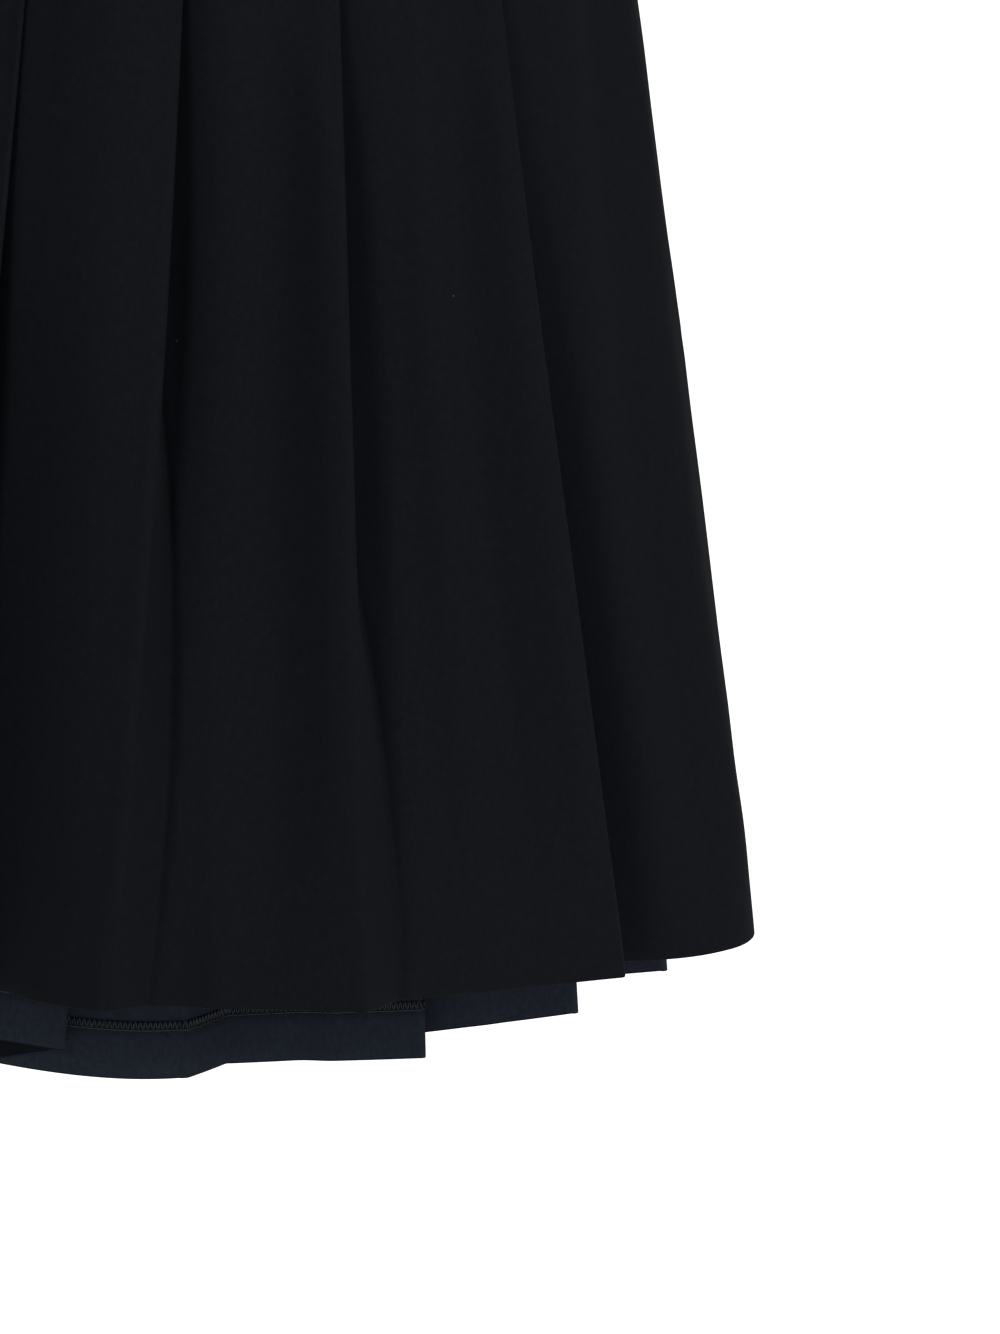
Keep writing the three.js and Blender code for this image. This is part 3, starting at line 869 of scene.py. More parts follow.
class MetalFinish(Enum):
    """The two metals of the fastenings."""

    # Die-cast zinc under dark enamel: semi-gloss, with the metal's gleam half hidden.
    ENAMELLED_ZINC = MetalLook(0x2A2D33, 0.4, 0.34, 0.42)
    # Pressed steel under nickel plate: a bright, slightly warm grey.
    NICKEL_STEEL = MetalLook(0xB4B4B0, 1.0, 0.28, 0.36)


@dataclass(frozen=True)
class SmallMetal:
    """Small fastening metal, with the faint unevenness of handling in its gloss."""

    name: str
    finish: MetalFinish
    wear: float = 4.0

    def build(self) -> bpy.types.Material:
        """Returns the material."""
        material, tree, shader = new_material(self.name)
        look = self.finish.value
        place = add_node(tree, "ShaderNodeTexCoord").outputs["Object"]
        handled = {"Scale": 1 / (self.wear * MM), "Detail": 3.0}
        wear = add_node(tree, "ShaderNodeTexNoise", handled, {"Vector": place})
        gloss = {**NOISE_RANGE, "To Min": look.smoothest, "To Max": look.roughest}
        rough = add_node(tree, "ShaderNodeMapRange", gloss, {"Value": wear.outputs[0]})
        tree.links.new(rough.outputs[0], shader.inputs["Roughness"])
        shader.inputs["Base Color"].default_value = to_linear(look.colour)
        shader.inputs["Metallic"].default_value = look.metallic
        return material


def mesh_object(
    name: str, points: Array, faces: Array, material: bpy.types.Material, uv: Array | None = None
) -> bpy.types.Object:
    """Makes a smooth-shaded mesh from points in millimetres.

    Args:
        name: The piece's name.
        points: Rows of x, y and z.
        faces: Rows of four point numbers.
        material: The finish.
        uv: A place on the cloth in metres for each point.

    Returns:
        The new object, linked to the scene.
    """
    mesh = bpy.data.meshes.new(name)
    mesh.from_pydata((points * MM).tolist(), [], faces.tolist())
    mesh.materials.append(material)
    mesh.polygons.foreach_set("use_smooth", np.ones(len(mesh.polygons), bool))
    if uv is not None:
        layer = mesh.uv_layers.new(name="cloth")
        corners = np.zeros(len(mesh.loops), np.int32)
        mesh.loops.foreach_get("vertex_index", corners)
        layer.data.foreach_set("uv", uv[corners].astype(np.float32).ravel())
    mesh.update()
    thing = bpy.data.objects.new(name, mesh)
    bpy.context.scene.collection.objects.link(thing)
    return thing


def shell_faces(rows: int, columns: int) -> Array:
    """Joins two grids of points into a closed wall.

    Args:
        rows: The number of rows in each grid.
        columns: The number of columns in each grid.

    Returns:
        The wall's faces, for the outer grid's points followed by the inner one's.
    """
    i, j = np.meshgrid(np.arange(rows - 1), np.arange(columns - 1), indexing="ij")
    a = (i * columns + j).ravel()
    size = rows * columns
    outer = np.stack([a, a + columns, a + columns + 1, a + 1], axis=1)
    inner = outer[:, ::-1] + size
    c = np.arange(columns - 1)
    top = np.stack([c, c + 1, c + 1 + size, c + size], axis=1)
    last = (rows - 1) * columns
    foot = np.stack([c + size + last, c + 1 + size + last, c + 1 + last, c + last], axis=1)
    r = np.arange(rows - 1) * columns
    left = np.stack([r + size, r + columns + size, r + columns, r], axis=1)
    end = r + columns - 1
    right = np.stack([end, end + columns, end + columns + size, end + size], axis=1)
    return np.concatenate([outer, inner, top, foot, left, right])


# The sides of the finest threads, which are drawn square.
SQUARE = 4
# How upright a strand may run before the way across it is found from X instead of from Z.
STEEPEST = 0.9


def tube(paths: list[Array], radius: float, sides: int) -> tuple[Array, Array]:
    """Runs strands along paths. A square strand's ends are closed, and a rounder one's are open.

    Args:
        paths: Rows of points in millimetres, one array for each strand.
        radius: The strand's radius.
        sides: The number of flat sides round it.

    Returns:
        The strands' points and their faces.
    """
    points, faces, count = [], [], 0
    turns = np.linspace(0, 2 * math.pi, sides, endpoint=False)
    for path in paths:
        ahead = np.gradient(path, axis=0)
        ahead /= np.maximum(1e-9, np.linalg.norm(ahead, axis=1))[:, None]
        up = np.where(np.abs(ahead[:, 2:3]) < STEEPEST, [[0.0, 0.0, 1.0]], [[1.0, 0.0, 0.0]])
        across = np.cross(ahead, up)
        across /= np.linalg.norm(across, axis=1)[:, None]
        up = np.cross(across, ahead)
        ring = across[:, None] * np.cos(turns)[:, None] + up[:, None] * np.sin(turns)[:, None]
        points.append((path[:, None] + radius * ring).reshape(-1, 3))
        for i in range(len(path) - 1):
            for j in range(sides):
                a, b = count + i * sides + j, count + i * sides + (j + 1) % sides
                faces.append((a, b, b + sides, a + sides))
        last = count + (len(path) - 1) * sides
        if sides == SQUARE:
            faces.append((count + 3, count + 2, count + 1, count))
            faces.append((last, last + 1, last + 2, last + 3))
        count += len(path) * sides
    return np.concatenate(points), np.array(faces)


@dataclass(frozen=True)
class HemEdge:
    """The turned-up allowance of a panel: where its cloth lies, for the sewing that sits on it.

    ups are the heights of its rows above the hem's fold, along the distance of each column along the
    cloth, face its side towards the inside of the skirt, and back its side towards the panel.
    """

    ups: Array
    along: Array
    face: Array
    back: Array

    def at(self, along: float, up: float, lift: float) -> Array:
        """Finds a point on the allowance.

        Args:
            along: The distance along the cloth.
            up: The height above the hem's fold.
            lift: How far it stands off the face, where minus the cloth's own thickness is its back.

        Returns:
            The point.
        """
        column = float(np.interp(along, self.along, np.arange(len(self.along))))
        row = float(np.interp(up, self.ups, np.arange(len(self.ups))))
        over = max(0.0, up - float(self.ups[-1]))
        face, back = (self.read(grid, row, column) for grid in (self.face, self.back))
        away = face - back
        point = face + away / np.linalg.norm(away) * lift
        return point + np.array([0, 0, over])

    def read(self, grid: Array, row: float, column: float) -> Array:
        """Reads a grid between its rows and columns.

        Args:
            grid: The grid of points.
            row: The place among its rows.
            column: The place among its columns.

        Returns:
            The point there.
        """
        i = min(int(row), grid.shape[0] - 2)
        j = min(int(column), grid.shape[1] - 2)
        t, u = row - i, column - j
        low = grid[i, j] * (1 - u) + grid[i, j + 1] * u
        high = grid[i + 1, j] * (1 - u) + grid[i + 1, j + 1] * u
        return low * (1 - t) + high * t


@dataclass(frozen=True)
class LoopPoint:
    """One point of the looper thread's zigzag over the raw edge.

    along is its place in the stitch, below how far down the overlocked strip it lies, from the raw
    edge (0) to the strip's foot (1), lift how far it stands off the face, and past how far it goes
    beyond the raw edge.
    """

    along: float
    below: float
    lift: float
    past: float = 0.0


LOOP_FOOT = 1
LOOP = (
    LoopPoint(0.0, LOOP_FOOT, 0.2),
    LoopPoint(0.25, 0.4, 0.32),
    LoopPoint(0.42, 0.0, 0.3),
    LoopPoint(0.5, 0.0, -CUT.cloth / 2, 0.5),
    LoopPoint(0.6, 0.0, 0.3),
    LoopPoint(0.8, 0.5, 0.34),
)


@dataclass(frozen=True)
class HemSewing:
    """The overlocked edge of the hem allowance, and the blind stitches that hold it up."""

    stitch: float = 2.6
    width: float = 4.6
    radius: float = 0.24
    # No two loops reach quite as far down.
    uneven: float = 0.175
    uneven_turn: float = 2.3
    needle_up: float = 0.2
    needle_low: float = 0.05
    needle_high: float = 0.34
    blind_step: float = 9.0
    blind_length: float = 3.2
    blind_below: float = 1.6
    blind_rise: float = 1.2
    blind_low: float = 0.05
    blind_arch: float = 0.15
    blind_points: int = 5
    blind_radius: float = 0.16
    margin: float = 4.0

    def places(self, edge: HemEdge, step: float) -> Array:
        """Returns the distances along the cloth where stitches a step apart start."""
        return np.arange(edge.along[0] + self.margin, edge.along[-1] - self.margin, step)

    def overlock(self, edge: HemEdge) -> tuple[Array, Array]:
        """Sews over the raw edge, with the looper's zigzag and the needle's thread below it.

        Args:
            edge: The panel's allowance.

        Returns:
            The threads' points and faces.
        """
        top = CUT.hem_allowance
        seam = top - self.width + self.needle_up
        zigzag, needle = [], []
        for k, place in enumerate(self.places(edge, self.stitch)):
            lean = self.uneven * math.sin(self.uneven_turn * k)
            for loop in LOOP:
                up = top - loop.below * self.width + loop.past + (lean if loop.below == LOOP_FOOT else 0)
                zigzag.append(edge.at(place + loop.along * self.stitch, up, loop.lift))
            needle.append(edge.at(place, seam, self.needle_low))
            needle.append(edge.at(place + self.stitch / 2, seam, self.needle_high))
        return tube([np.array(zigzag), np.array(needle)], self.radius, SQUARE)

    def blind(self, edge: HemEdge) -> tuple[Array, Array]:
        """Sews the allowance up, with stitches that slant just under its overlocked edge.

        Args:
            edge: The panel's allowance.

        Returns:
            The stitches' points and faces.
        """
        low = CUT.hem_allowance - self.width - self.blind_below
        paths = []
        for place in self.places(edge, self.blind_step):
            line = []
            for t in np.linspace(0, 1, self.blind_points):
                up = low + self.blind_rise * t
                lift = self.blind_low + self.blind_arch * arch(t)
                line.append(edge.at(place + self.blind_length * t, up, lift))
            paths.append(np.array(line))
        return tube(paths, self.blind_radius, SQUARE)


@dataclass
class PleatedPanel:
    """One pressed panel of the skirt, hemmed: its cloth runs down, round the hem and up inside."""

    name: str
    first: int
    last: int
    zip_at_start: bool
    cloth: PleatedCloth
    hem_arc_steps: int = 6
    hem_rise_steps: int = 3
    # How much of a fold's inside the hem's layers may fill.
    fold_fill: float = 0.8
    edge: HemEdge = field(init=False)
    middle: Array = field(init=False)

    def profile(self) -> list[tuple[float, float, float, float]]:
        """Draws the hem after the outer layer's foot, round its fold and up inside.

        Returns:
            How far in and up each row lies, the way its outer side faces, and how far along it is.
        """
        step = CUT.cloth + CUT.hem_gap
        radius = step / 2
        rows = []
        for k in range(1, self.hem_arc_steps + 1):
            turn = math.pi * k / self.hem_arc_steps
            rows.append((radius * (1 - math.cos(turn)), -radius * math.sin(turn), turn, radius * turn))
        for k in range(1, self.hem_rise_steps + 1):
            up = CUT.hem_allowance * k / self.hem_rise_steps
            rows.append((step, up, math.pi, radius * math.pi + up))
        return rows

    def columns(self) -> Array:
        """Returns the cloth's columns that the panel holds, in order round the skirt."""
        return np.arange(self.first, self.last + 1) % self.cloth.columns

    def build(self, material: bpy.types.Material, painted_light_inside: bpy.types.Material) -> bpy.types.Object:
        """Makes the panel's shell.

        Args:
            material: The cloth's right side.
            painted_light_inside: The cloth painted paler and bluer, for the faces seen from inside the
                skirt, as painted light standing in for the light that falls there.

        Returns:
            The new piece.
        """
        cloth, column = self.cloth, self.columns()
        outs = cloth.outs[:, column]
        points = self.trimmed(cloth.points[:, column], outs)
        turn = np.floor(np.arange(self.first, self.last + 1) / cloth.columns)
        along = cloth.along[:, column] + turn[None, :] * cloth.along[:, -1:]
        half = CUT.cloth / 2
        outer, inner, uvs = [], [], []
        for row in range(len(cloth.parts)):
            offset = outs[row] * half
            outer.append(np.column_stack([points[row, :, :2] + offset, points[row, :, 2]]))
            inner.append(np.column_stack([points[row, :, :2] - offset, points[row, :, 2]]))
            uvs.append(np.column_stack([along[row], points[row, :, 2]]))
        foot, foot_out = points[-1], outs[-1]
        # From the middle of the outer layer to the face of the allowance.
        thickness = 1.5 * CUT.cloth + CUT.hem_gap
        room = np.minimum(1.0, cloth.rooms[-1, column] * self.fold_fill / thickness)
        drop = -foot[:, 2]
        for inward, up, facing, length in self.profile():
            part = 1 - up / drop
            base = self.at_height(points, outs, part * drop)
            move = foot_out if up <= 0 else base[1]
            centre = base[0][:, :2] - move * (inward * room)[:, None]
            z = -(drop - up)
            side_out = math.cos(facing) * half
            side_down = math.sin(facing) * half
            scale = np.where(math.cos(facing) < 0, room, 1.0)[:, None]
            outer.append(np.column_stack([centre + move * side_out * scale, z - side_down]))
            inner.append(np.column_stack([centre - move * side_out * scale, z + side_down]))
            uvs.append(np.column_stack([along[-1], foot[:, 2] - length]))
        rise = self.hem_rise_steps
        ups = [up for _, up, _, _ in self.profile()][-rise:]
        self.edge = HemEdge(np.array(ups), along[-1], np.stack(outer[-rise:]), np.stack(inner[-rise:]))
        uv = np.concatenate(uvs) * MM
        both = np.concatenate([np.concatenate(outer), np.concatenate(inner)])
        faces = shell_faces(len(outer), len(column))
        piece = mesh_object(self.name, both, faces, material, np.concatenate([uv, uv]))
        piece.data.materials.append(painted_light_inside)
        across = len(column) - 1
        side = (len(outer) - 1) * across
        allowance = (len(cloth.parts) + self.hem_arc_steps - 1) * across
        # The faces seen from inside the skirt, the allowance's among them, take the second material, whose
        # paler colour is painted light.
        painted_light_faces = np.zeros(len(faces), np.int32)
        painted_light_faces[allowance : 2 * side] = 1
        piece.data.polygons.foreach_set("material_index", painted_light_faces)
        self.middle = (np.stack(outer) + np.stack(inner)) / 2
        return piece

    def cut(self) -> tuple[float, float, float]:
        """Measures the cloth's middle.

        Returns:
            The cut's greatest width and length, in metres, and its area.
        """
        grid = self.middle * MM
        across = np.linalg.norm(np.diff(grid, axis=1), axis=2)
        down = np.linalg.norm(np.diff(grid, axis=0), axis=2)
        first, second = grid[1:, 1:] - grid[:-1, :-1], grid[1:, :-1] - grid[:-1, 1:]
        area = np.linalg.norm(np.cross(first, second), axis=2).sum() / 2
        return float(across.sum(axis=1).max()), float(down.sum(axis=0).max()), float(area)

    def trimmed(self, points: Array, outs: Array) -> Array:
        """Draws the panel's two edges back by half a seam's gap.

        Args:
            points: The rows of the cloth's middle.
            outs: Their outward directions.

        Returns:
            The moved points.
        """
        moved = points.copy()
        for column, side in ((0, 1), (-1, -1)):
            zipped = (column == 0) == self.zip_at_start
            heading = np.stack([-outs[:, column, 1], outs[:, column, 0]], axis=1)
            heading /= np.linalg.norm(heading, axis=1)[:, None]
            gap = CUT.half_gap(zipped, -points[:, column, 2])
            moved[:, column, :2] += side * heading * gap[:, None]
        return moved

    def at_height(self, points: Array, outs: Array, down: Array) -> tuple[Array, Array]:
        """Reads each column at its own height.

        Args:
            points: The rows of the cloth's middle.
            outs: Their outward directions.
            down: Each column's distance below the waist.

        Returns:
            Each column's point and outward direction.
        """
        depth = -points[..., 2]
        found = np.zeros((points.shape[1], 3))
        out = np.zeros((points.shape[1], 2))
        for j in range(points.shape[1]):
            for axis in range(3):
                found[j, axis] = np.interp(down[j], depth[:, j], points[:, j, axis])
            for axis in range(2):
                out[j, axis] = np.interp(down[j], depth[:, j], outs[:, j, axis])
        return found, out


@dataclass(frozen=True)
class Waistband:
    """The waistband: one strip of the cloth folded double, its edges turned in, over the pleats."""

    height: float = 34
    face: float = 2.4
    body_in: float = -0.6
    leaf_in: float = -7.8
    flare_from: float = 12.5
    flare_to: float = 24
    turned: float = 9
    turn_gap: float = 0.15
    end_gap: float = 0.2
    stations: int = 260
    bend_steps: int = 6
    fold_steps: int = 8
    face_steps: int = 9
    straight_steps: int = 3
    face_top: float = 3.0
    cap_top: float = 0.3
    cap_start: float = 2
    cap_foot: float = 26
    cap_rows: int = 14
    cap_columns: int = 6
    cap_width: float = 10
    stitch: float = 2.5
    stitch_up: float = 1.6
    stitch_radius: float = 0.2
    stitch_start: float = 0.1
    stitch_end: float = 0.78
    stitch_points: int = 5
    stitch_sink: float = 0.12
    stitch_rise: float = 0.22
    stitch_margin: float = 1.5

    def seam_place(self) -> float:
        """Returns where the left side seam lies round the band, in pitches."""
        form = Form(CUT.panel_top)
        return float(FOLDS.path(form, LEFT_SEAM_PLEAT).s[FOLDS.seam_point]) / form.pitch

    def outline(self) -> Array:
        """Draws the cloth's middle line across the band, from one turned-in edge to the other.

        Returns:
            Rows of offset out and distance down.
        """
        half = CUT.cloth / 2
        face, body, leaf = self.face - half, self.body_in + half, self.leaf_in + half
        back = CUT.cloth + self.turn_gap
        low = self.height - half - back / 2
        turned_top = self.height - self.turned
        rows = [(face - back, turned_top), (face - back, low)]
        rows += self.turn_in(face, low, back / 2)
        rows += [(face, mix(low, self.face_top, k / self.face_steps)) for k in range(self.face_steps)]
        top = (face - body) / 2
        for k in range(self.fold_steps + 1):
            rows.append(self.bend(face - top, half + top, top, math.pi * k / self.fold_steps, -1))
        steps = [k / self.straight_steps for k in range(1, self.straight_steps + 1)]
        rows += [(body, mix(half + top, self.flare_from, t)) for t in steps]
        for k in range(1, self.bend_steps + 1):
            t = k / self.bend_steps
            rows.append((mix(body, leaf, float(smoothstep(t))), mix(self.flare_from, self.flare_to, t)))
        rows += [(leaf, mix(self.flare_to, low, t)) for t in steps]
        rows += self.turn_in(leaf + back, low, back / 2)
        rows += [(leaf + back, low), (leaf + back, turned_top)]
        return np.array(rows)

    def turn_in(self, face: float, down: float, radius: float) -> list[tuple[float, float]]:
        """Draws the fold where an edge of the cloth turns in, between its two straight sides.

        Args:
            face: The fold's outermost offset.
            down: The height of its middle, as a distance below the waist.
            radius: Its radius.

        Returns:
            Its points, from the inner side to the outer one.
        """
        turns = [math.pi - math.pi * k / self.bend_steps for k in range(1, self.bend_steps)]
        return [self.bend(face - radius, down, radius, turn, 1) for turn in turns]

    def bend(self, out: float, down: float, radius: float, turn: float, side: int) -> tuple[float, float]:
        """Returns a point on a bend of the cloth, whose side is 1 below its middle and -1 above it."""
        return out + radius * math.cos(turn), down + side * radius * math.sin(turn)

    def lifted(self, outline: Array, lift: float) -> Array:
        """Moves the outline to one side.

        Args:
            outline: Offsets out and distances down.
            lift: How far it moves.

        Returns:
            The moved outline.
        """
        ahead = np.gradient(outline, axis=0)
        ahead /= np.linalg.norm(ahead, axis=1)[:, None]
        return outline + lift * np.stack([-ahead[:, 1], ahead[:, 0]], axis=1)

    def swept(self, outline: Array, shares: Array, inset: float) -> Array:
        """Sweeps the outline round the waist.

        Args:
            outline: Offsets out and distances down.
            shares: Places round the band, from 0 to 1.
            inset: How far in from the band's two ends it starts and stops.

        Returns:
            A row of points for each of the outline's corners.
        """
        seam = self.seam_place()
        grid = []
        for out, down in outline:
            form = Form(float(down))
            start = seam * form.pitch + self.end_gap / 2 + inset
            along = start + shares * (form.round - self.end_gap - 2 * inset)
            level = form.at(along, np.full(len(shares), out))
            grid.append(np.column_stack([level, np.full(len(shares), -down)]))
        return np.stack(grid)

    def build(self, material: bpy.types.Material) -> bpy.types.Object:
        """Makes the band's cloth with its two closed ends.

        Args:
            material: The cloth.

        Returns:
            The new piece.
        """
        outline = self.outline()
        shares = np.linspace(0, 1, self.stations)
        half = CUT.cloth / 2
        grids = [self.swept(self.lifted(outline, lift), shares, 0) for lift in (half, -half)]
        rows, columns = grids[0].shape[:2]
        points = [np.concatenate([g.reshape(-1, 3) for g in grids])]
        faces = [shell_faces(rows, columns)]
        across = np.concatenate([[0], np.cumsum(np.linalg.norm(np.diff(outline, axis=0), axis=1))])
        middle = Form(self.height / 2).round
        u, v = np.meshgrid(shares * middle, -across)
        uv = np.stack([u.ravel(), v.ravel()], axis=1)
        uvs = [uv, uv]
        for end in (0, 1):
            cap, cap_uv = self.cap(end)
            faces.append(shell_faces(*cap.shape[1:3]) + sum(len(p) for p in points))
            points.append(cap.reshape(-1, 3))
            uvs.append(cap_uv)
        return mesh_object(
            "waistband_cloth",
            np.concatenate(points),
            np.concatenate(faces),
            material,
            np.concatenate(uvs) * MM,
        )

    def cap(self, end: int) -> tuple[Array, Array]:
        """Turns the cloth in across one end of the band.

        Args:
            end: 0 for the band's start at the back, or 1 for its end at the front.

        Returns:
            Two grids of points, and their places on the cloth.
        """
        half = CUT.cloth / 2
        downs = np.linspace(self.cap_start, self.cap_foot, self.cap_rows)
        downs = np.concatenate([[half + self.cap_top], downs])
        grid = []
        for inset in (0.0, CUT.cloth):
            rows = []
            for down in downs:
                t = float(smoothstep((down - self.flare_from) / (self.flare_to - self.flare_from)))
                inner = mix(self.body_in, self.leaf_in, t) + half
                outs = np.linspace(inner, self.face - half, self.cap_columns)
                share = np.array([float(end)])
                rows.append([self.swept(np.array([[out, down]]), share, inset)[0, 0] for out in outs])
            grid.append(rows)
        cap = np.array(grid if end else grid[::-1])
        u, v = np.meshgrid(np.linspace(0, self.cap_width, cap.shape[2]), -downs)
        uv = np.stack([u.ravel(), v.ravel()], axis=1)
        return cap, np.concatenate([uv, uv])

    def stitches(self) -> tuple[Array, Array]:
        """Sews the edge stitching just above the band's lower edge.

        Returns:
            The stitches' points and faces.
        """
        down = self.height - self.stitch_up
        count = int(Form(down).round / self.stitch)
        parts = np.linspace(self.stitch_start, self.stitch_end, self.stitch_points)
        outs = self.face - self.stitch_sink + self.stitch_rise * arch(np.linspace(0, 1, self.stitch_points))
        paths = []
        for k in range(count):
            line = []
            for part, out in zip(parts, outs):
                share = np.array([(k + part) / count])
                line.append(self.swept(np.array([[out, down]]), share, self.stitch_margin)[0, 0])
            paths.append(np.array(line))
        return tube(paths, self.stitch_radius, SQUARE)


class TapeSide(Enum):
    """The zip's two tapes, by the way that each lies from the seam."""

    FRONT = -1
    BACK = 1


@dataclass(frozen=True)
class Zip:
    """The zip's two woven tapes behind the seam's edges, and the coil that joins them."""

    width: float = 9
    thickness: float = 0.6
    lift: float = 1.6
    rows: int = 80
    columns: int = 6
    # Above the slider the two tapes meet at the seam.
    meet_end: float = 38.2
    meet_fade: float = 2.0
    # How many columns of the cloth away the seam's direction is read.
    reach: int = 2
    coil_top: float = 48
    coil_end: float = 202
    coil_pitch: float = 1.1
    coil_half: float = 1.7
    coil_depth: float = 0.55
    coil_behind: float = 0.5
    coil_radius: float = 0.4
    coil_steps: int = 12
    coil_sides: int = 5
    stitch: float = 2.4
    stitch_share: float = 0.72
    stitch_in: float = 5.2
    stitch_top: float = 2
    stitch_foot: float = 3
    stitch_sink: float = 0.08
    stitch_arch: float = 0.28
    stitch_points: int = 4
    stitch_radius: float = 0.17

    def seam(self, cloth: PleatedCloth, down: float, side: TapeSide) -> tuple[Array, Array, Array]:
        """Finds the left seam at one height.

        Args:
            cloth: The panels' cloth.
            down: The distance below the waist.
            side: The side of the seam that the wall is followed to.

        Returns:
            A point of the seam, the way along the wall from it, and the way out.
        """
        column = LEFT_SEAM_PLEAT * FOLDS.points + FOLDS.seam_point

        def at(offset: int) -> Array:
            """Returns the cloth's middle on a column near the seam."""
            rows = cloth.points[:, column + offset]
            return np.array([np.interp(down, -rows[:, 2], rows[:, axis]) for axis in (0, 1)] + [-down])

        point = at(0)
        away = at(self.reach * side.value) - point
        away /= np.linalg.norm(away)
        out = side.value * np.array([away[1], -away[0], 0])
        return point, away, out

    def tape(self, cloth: PleatedCloth, side: TapeSide, material: bpy.types.Material) -> bpy.types.Object:
        """Makes one half of the tape.

        Args:
            cloth: The panels' cloth.
            side: The half.
            material: The tape's finish.

        Returns:
            The new piece.
        """
        grids = []
        downs = np.linspace(CUT.zip_top, CUT.zip_end, self.rows)
        places = np.linspace(CUT.zip_gap / 2, self.width, self.columns)[:: side.value]
        for half in (self.thickness / 2, -self.thickness / 2):
            grid = []
            for down in downs:
                point, away, out = self.seam(cloth, float(down), side)
                parted = smoothstep((down - self.meet_end) / self.meet_fade) * CUT.zip_gap / 2
                across = np.interp(places, (CUT.zip_gap / 2, self.width), (parted, self.width))
                grid.append([point + away * place + out * (half - self.lift) for place in across])
            grids.append(grid)
        u, v = np.meshgrid(places * side.value, -downs)
        uv = np.stack([u.ravel(), v.ravel()], axis=1) * MM
        points = np.array(grids).reshape(-1, 3)
        name = f"zip_tape_{side.name.lower()}_woven"
        faces = shell_faces(self.rows, self.columns)
        return mesh_object(name, points, faces, material, np.concatenate([uv, uv]))

    def coil(self, cloth: PleatedCloth) -> tuple[Array, Array]:
        """Winds the closed coil round the seam, from the slider to the zip's end.

        Args:
            cloth: The panels' cloth.

        Returns:
            The coil's points and faces.
        """
        turns = (self.coil_end - self.coil_top) / self.coil_pitch
        path = []
        for k in range(int(turns * self.coil_steps)):
            angle = 2 * math.pi * k / self.coil_steps
            down = self.coil_top + self.coil_pitch * k / self.coil_steps
            point, away, out = self.seam(cloth, down, TapeSide.BACK)
            across = self.coil_half * math.cos(angle)
            behind = self.lift + self.coil_behind - self.coil_depth * math.sin(angle)
            path.append(point + away * across - out * behind)
        return tube([np.array(path)], self.coil_radius, self.coil_sides)

    def stitches(self, cloth: PleatedCloth) -> tuple[Array, Array]:
        """Sews down the middle of both tapes.

        Args:
            cloth: The panels' cloth.

        Returns:
            The stitches' points and faces.
        """
        starts = np.arange(CUT.zip_top + self.stitch_top, CUT.zip_end - self.stitch_foot, self.stitch)
        paths = []
        for side in TapeSide:
            for start in starts:
                line = []
                for t in np.linspace(0, 1, self.stitch_points):
                    down = float(start + self.stitch_share * self.stitch * t)
                    point, away, out = self.seam(cloth, down, side)
                    lift = self.lift + self.thickness / 2 + self.stitch_arch * arch(t) - self.stitch_sink
                    line.append(point + away * self.stitch_in - out * lift)
                paths.append(np.array(line))
        return tube(paths, self.stitch_radius, SQUARE)


@dataclass(frozen=True)
class Softbox:
    """A soft square light: where it stands and its side, in metres, and its power in watts."""

    name: str
    place: tuple[float, float, float]
    size: float
    power: float


SOFTBOXES = (
    Softbox("right_softbox", (2.9, -2.5, 0.7), 1.0, 60),
    Softbox("left_softbox", (-1.6, -3.5, 0.7), 1.0, 42),
)


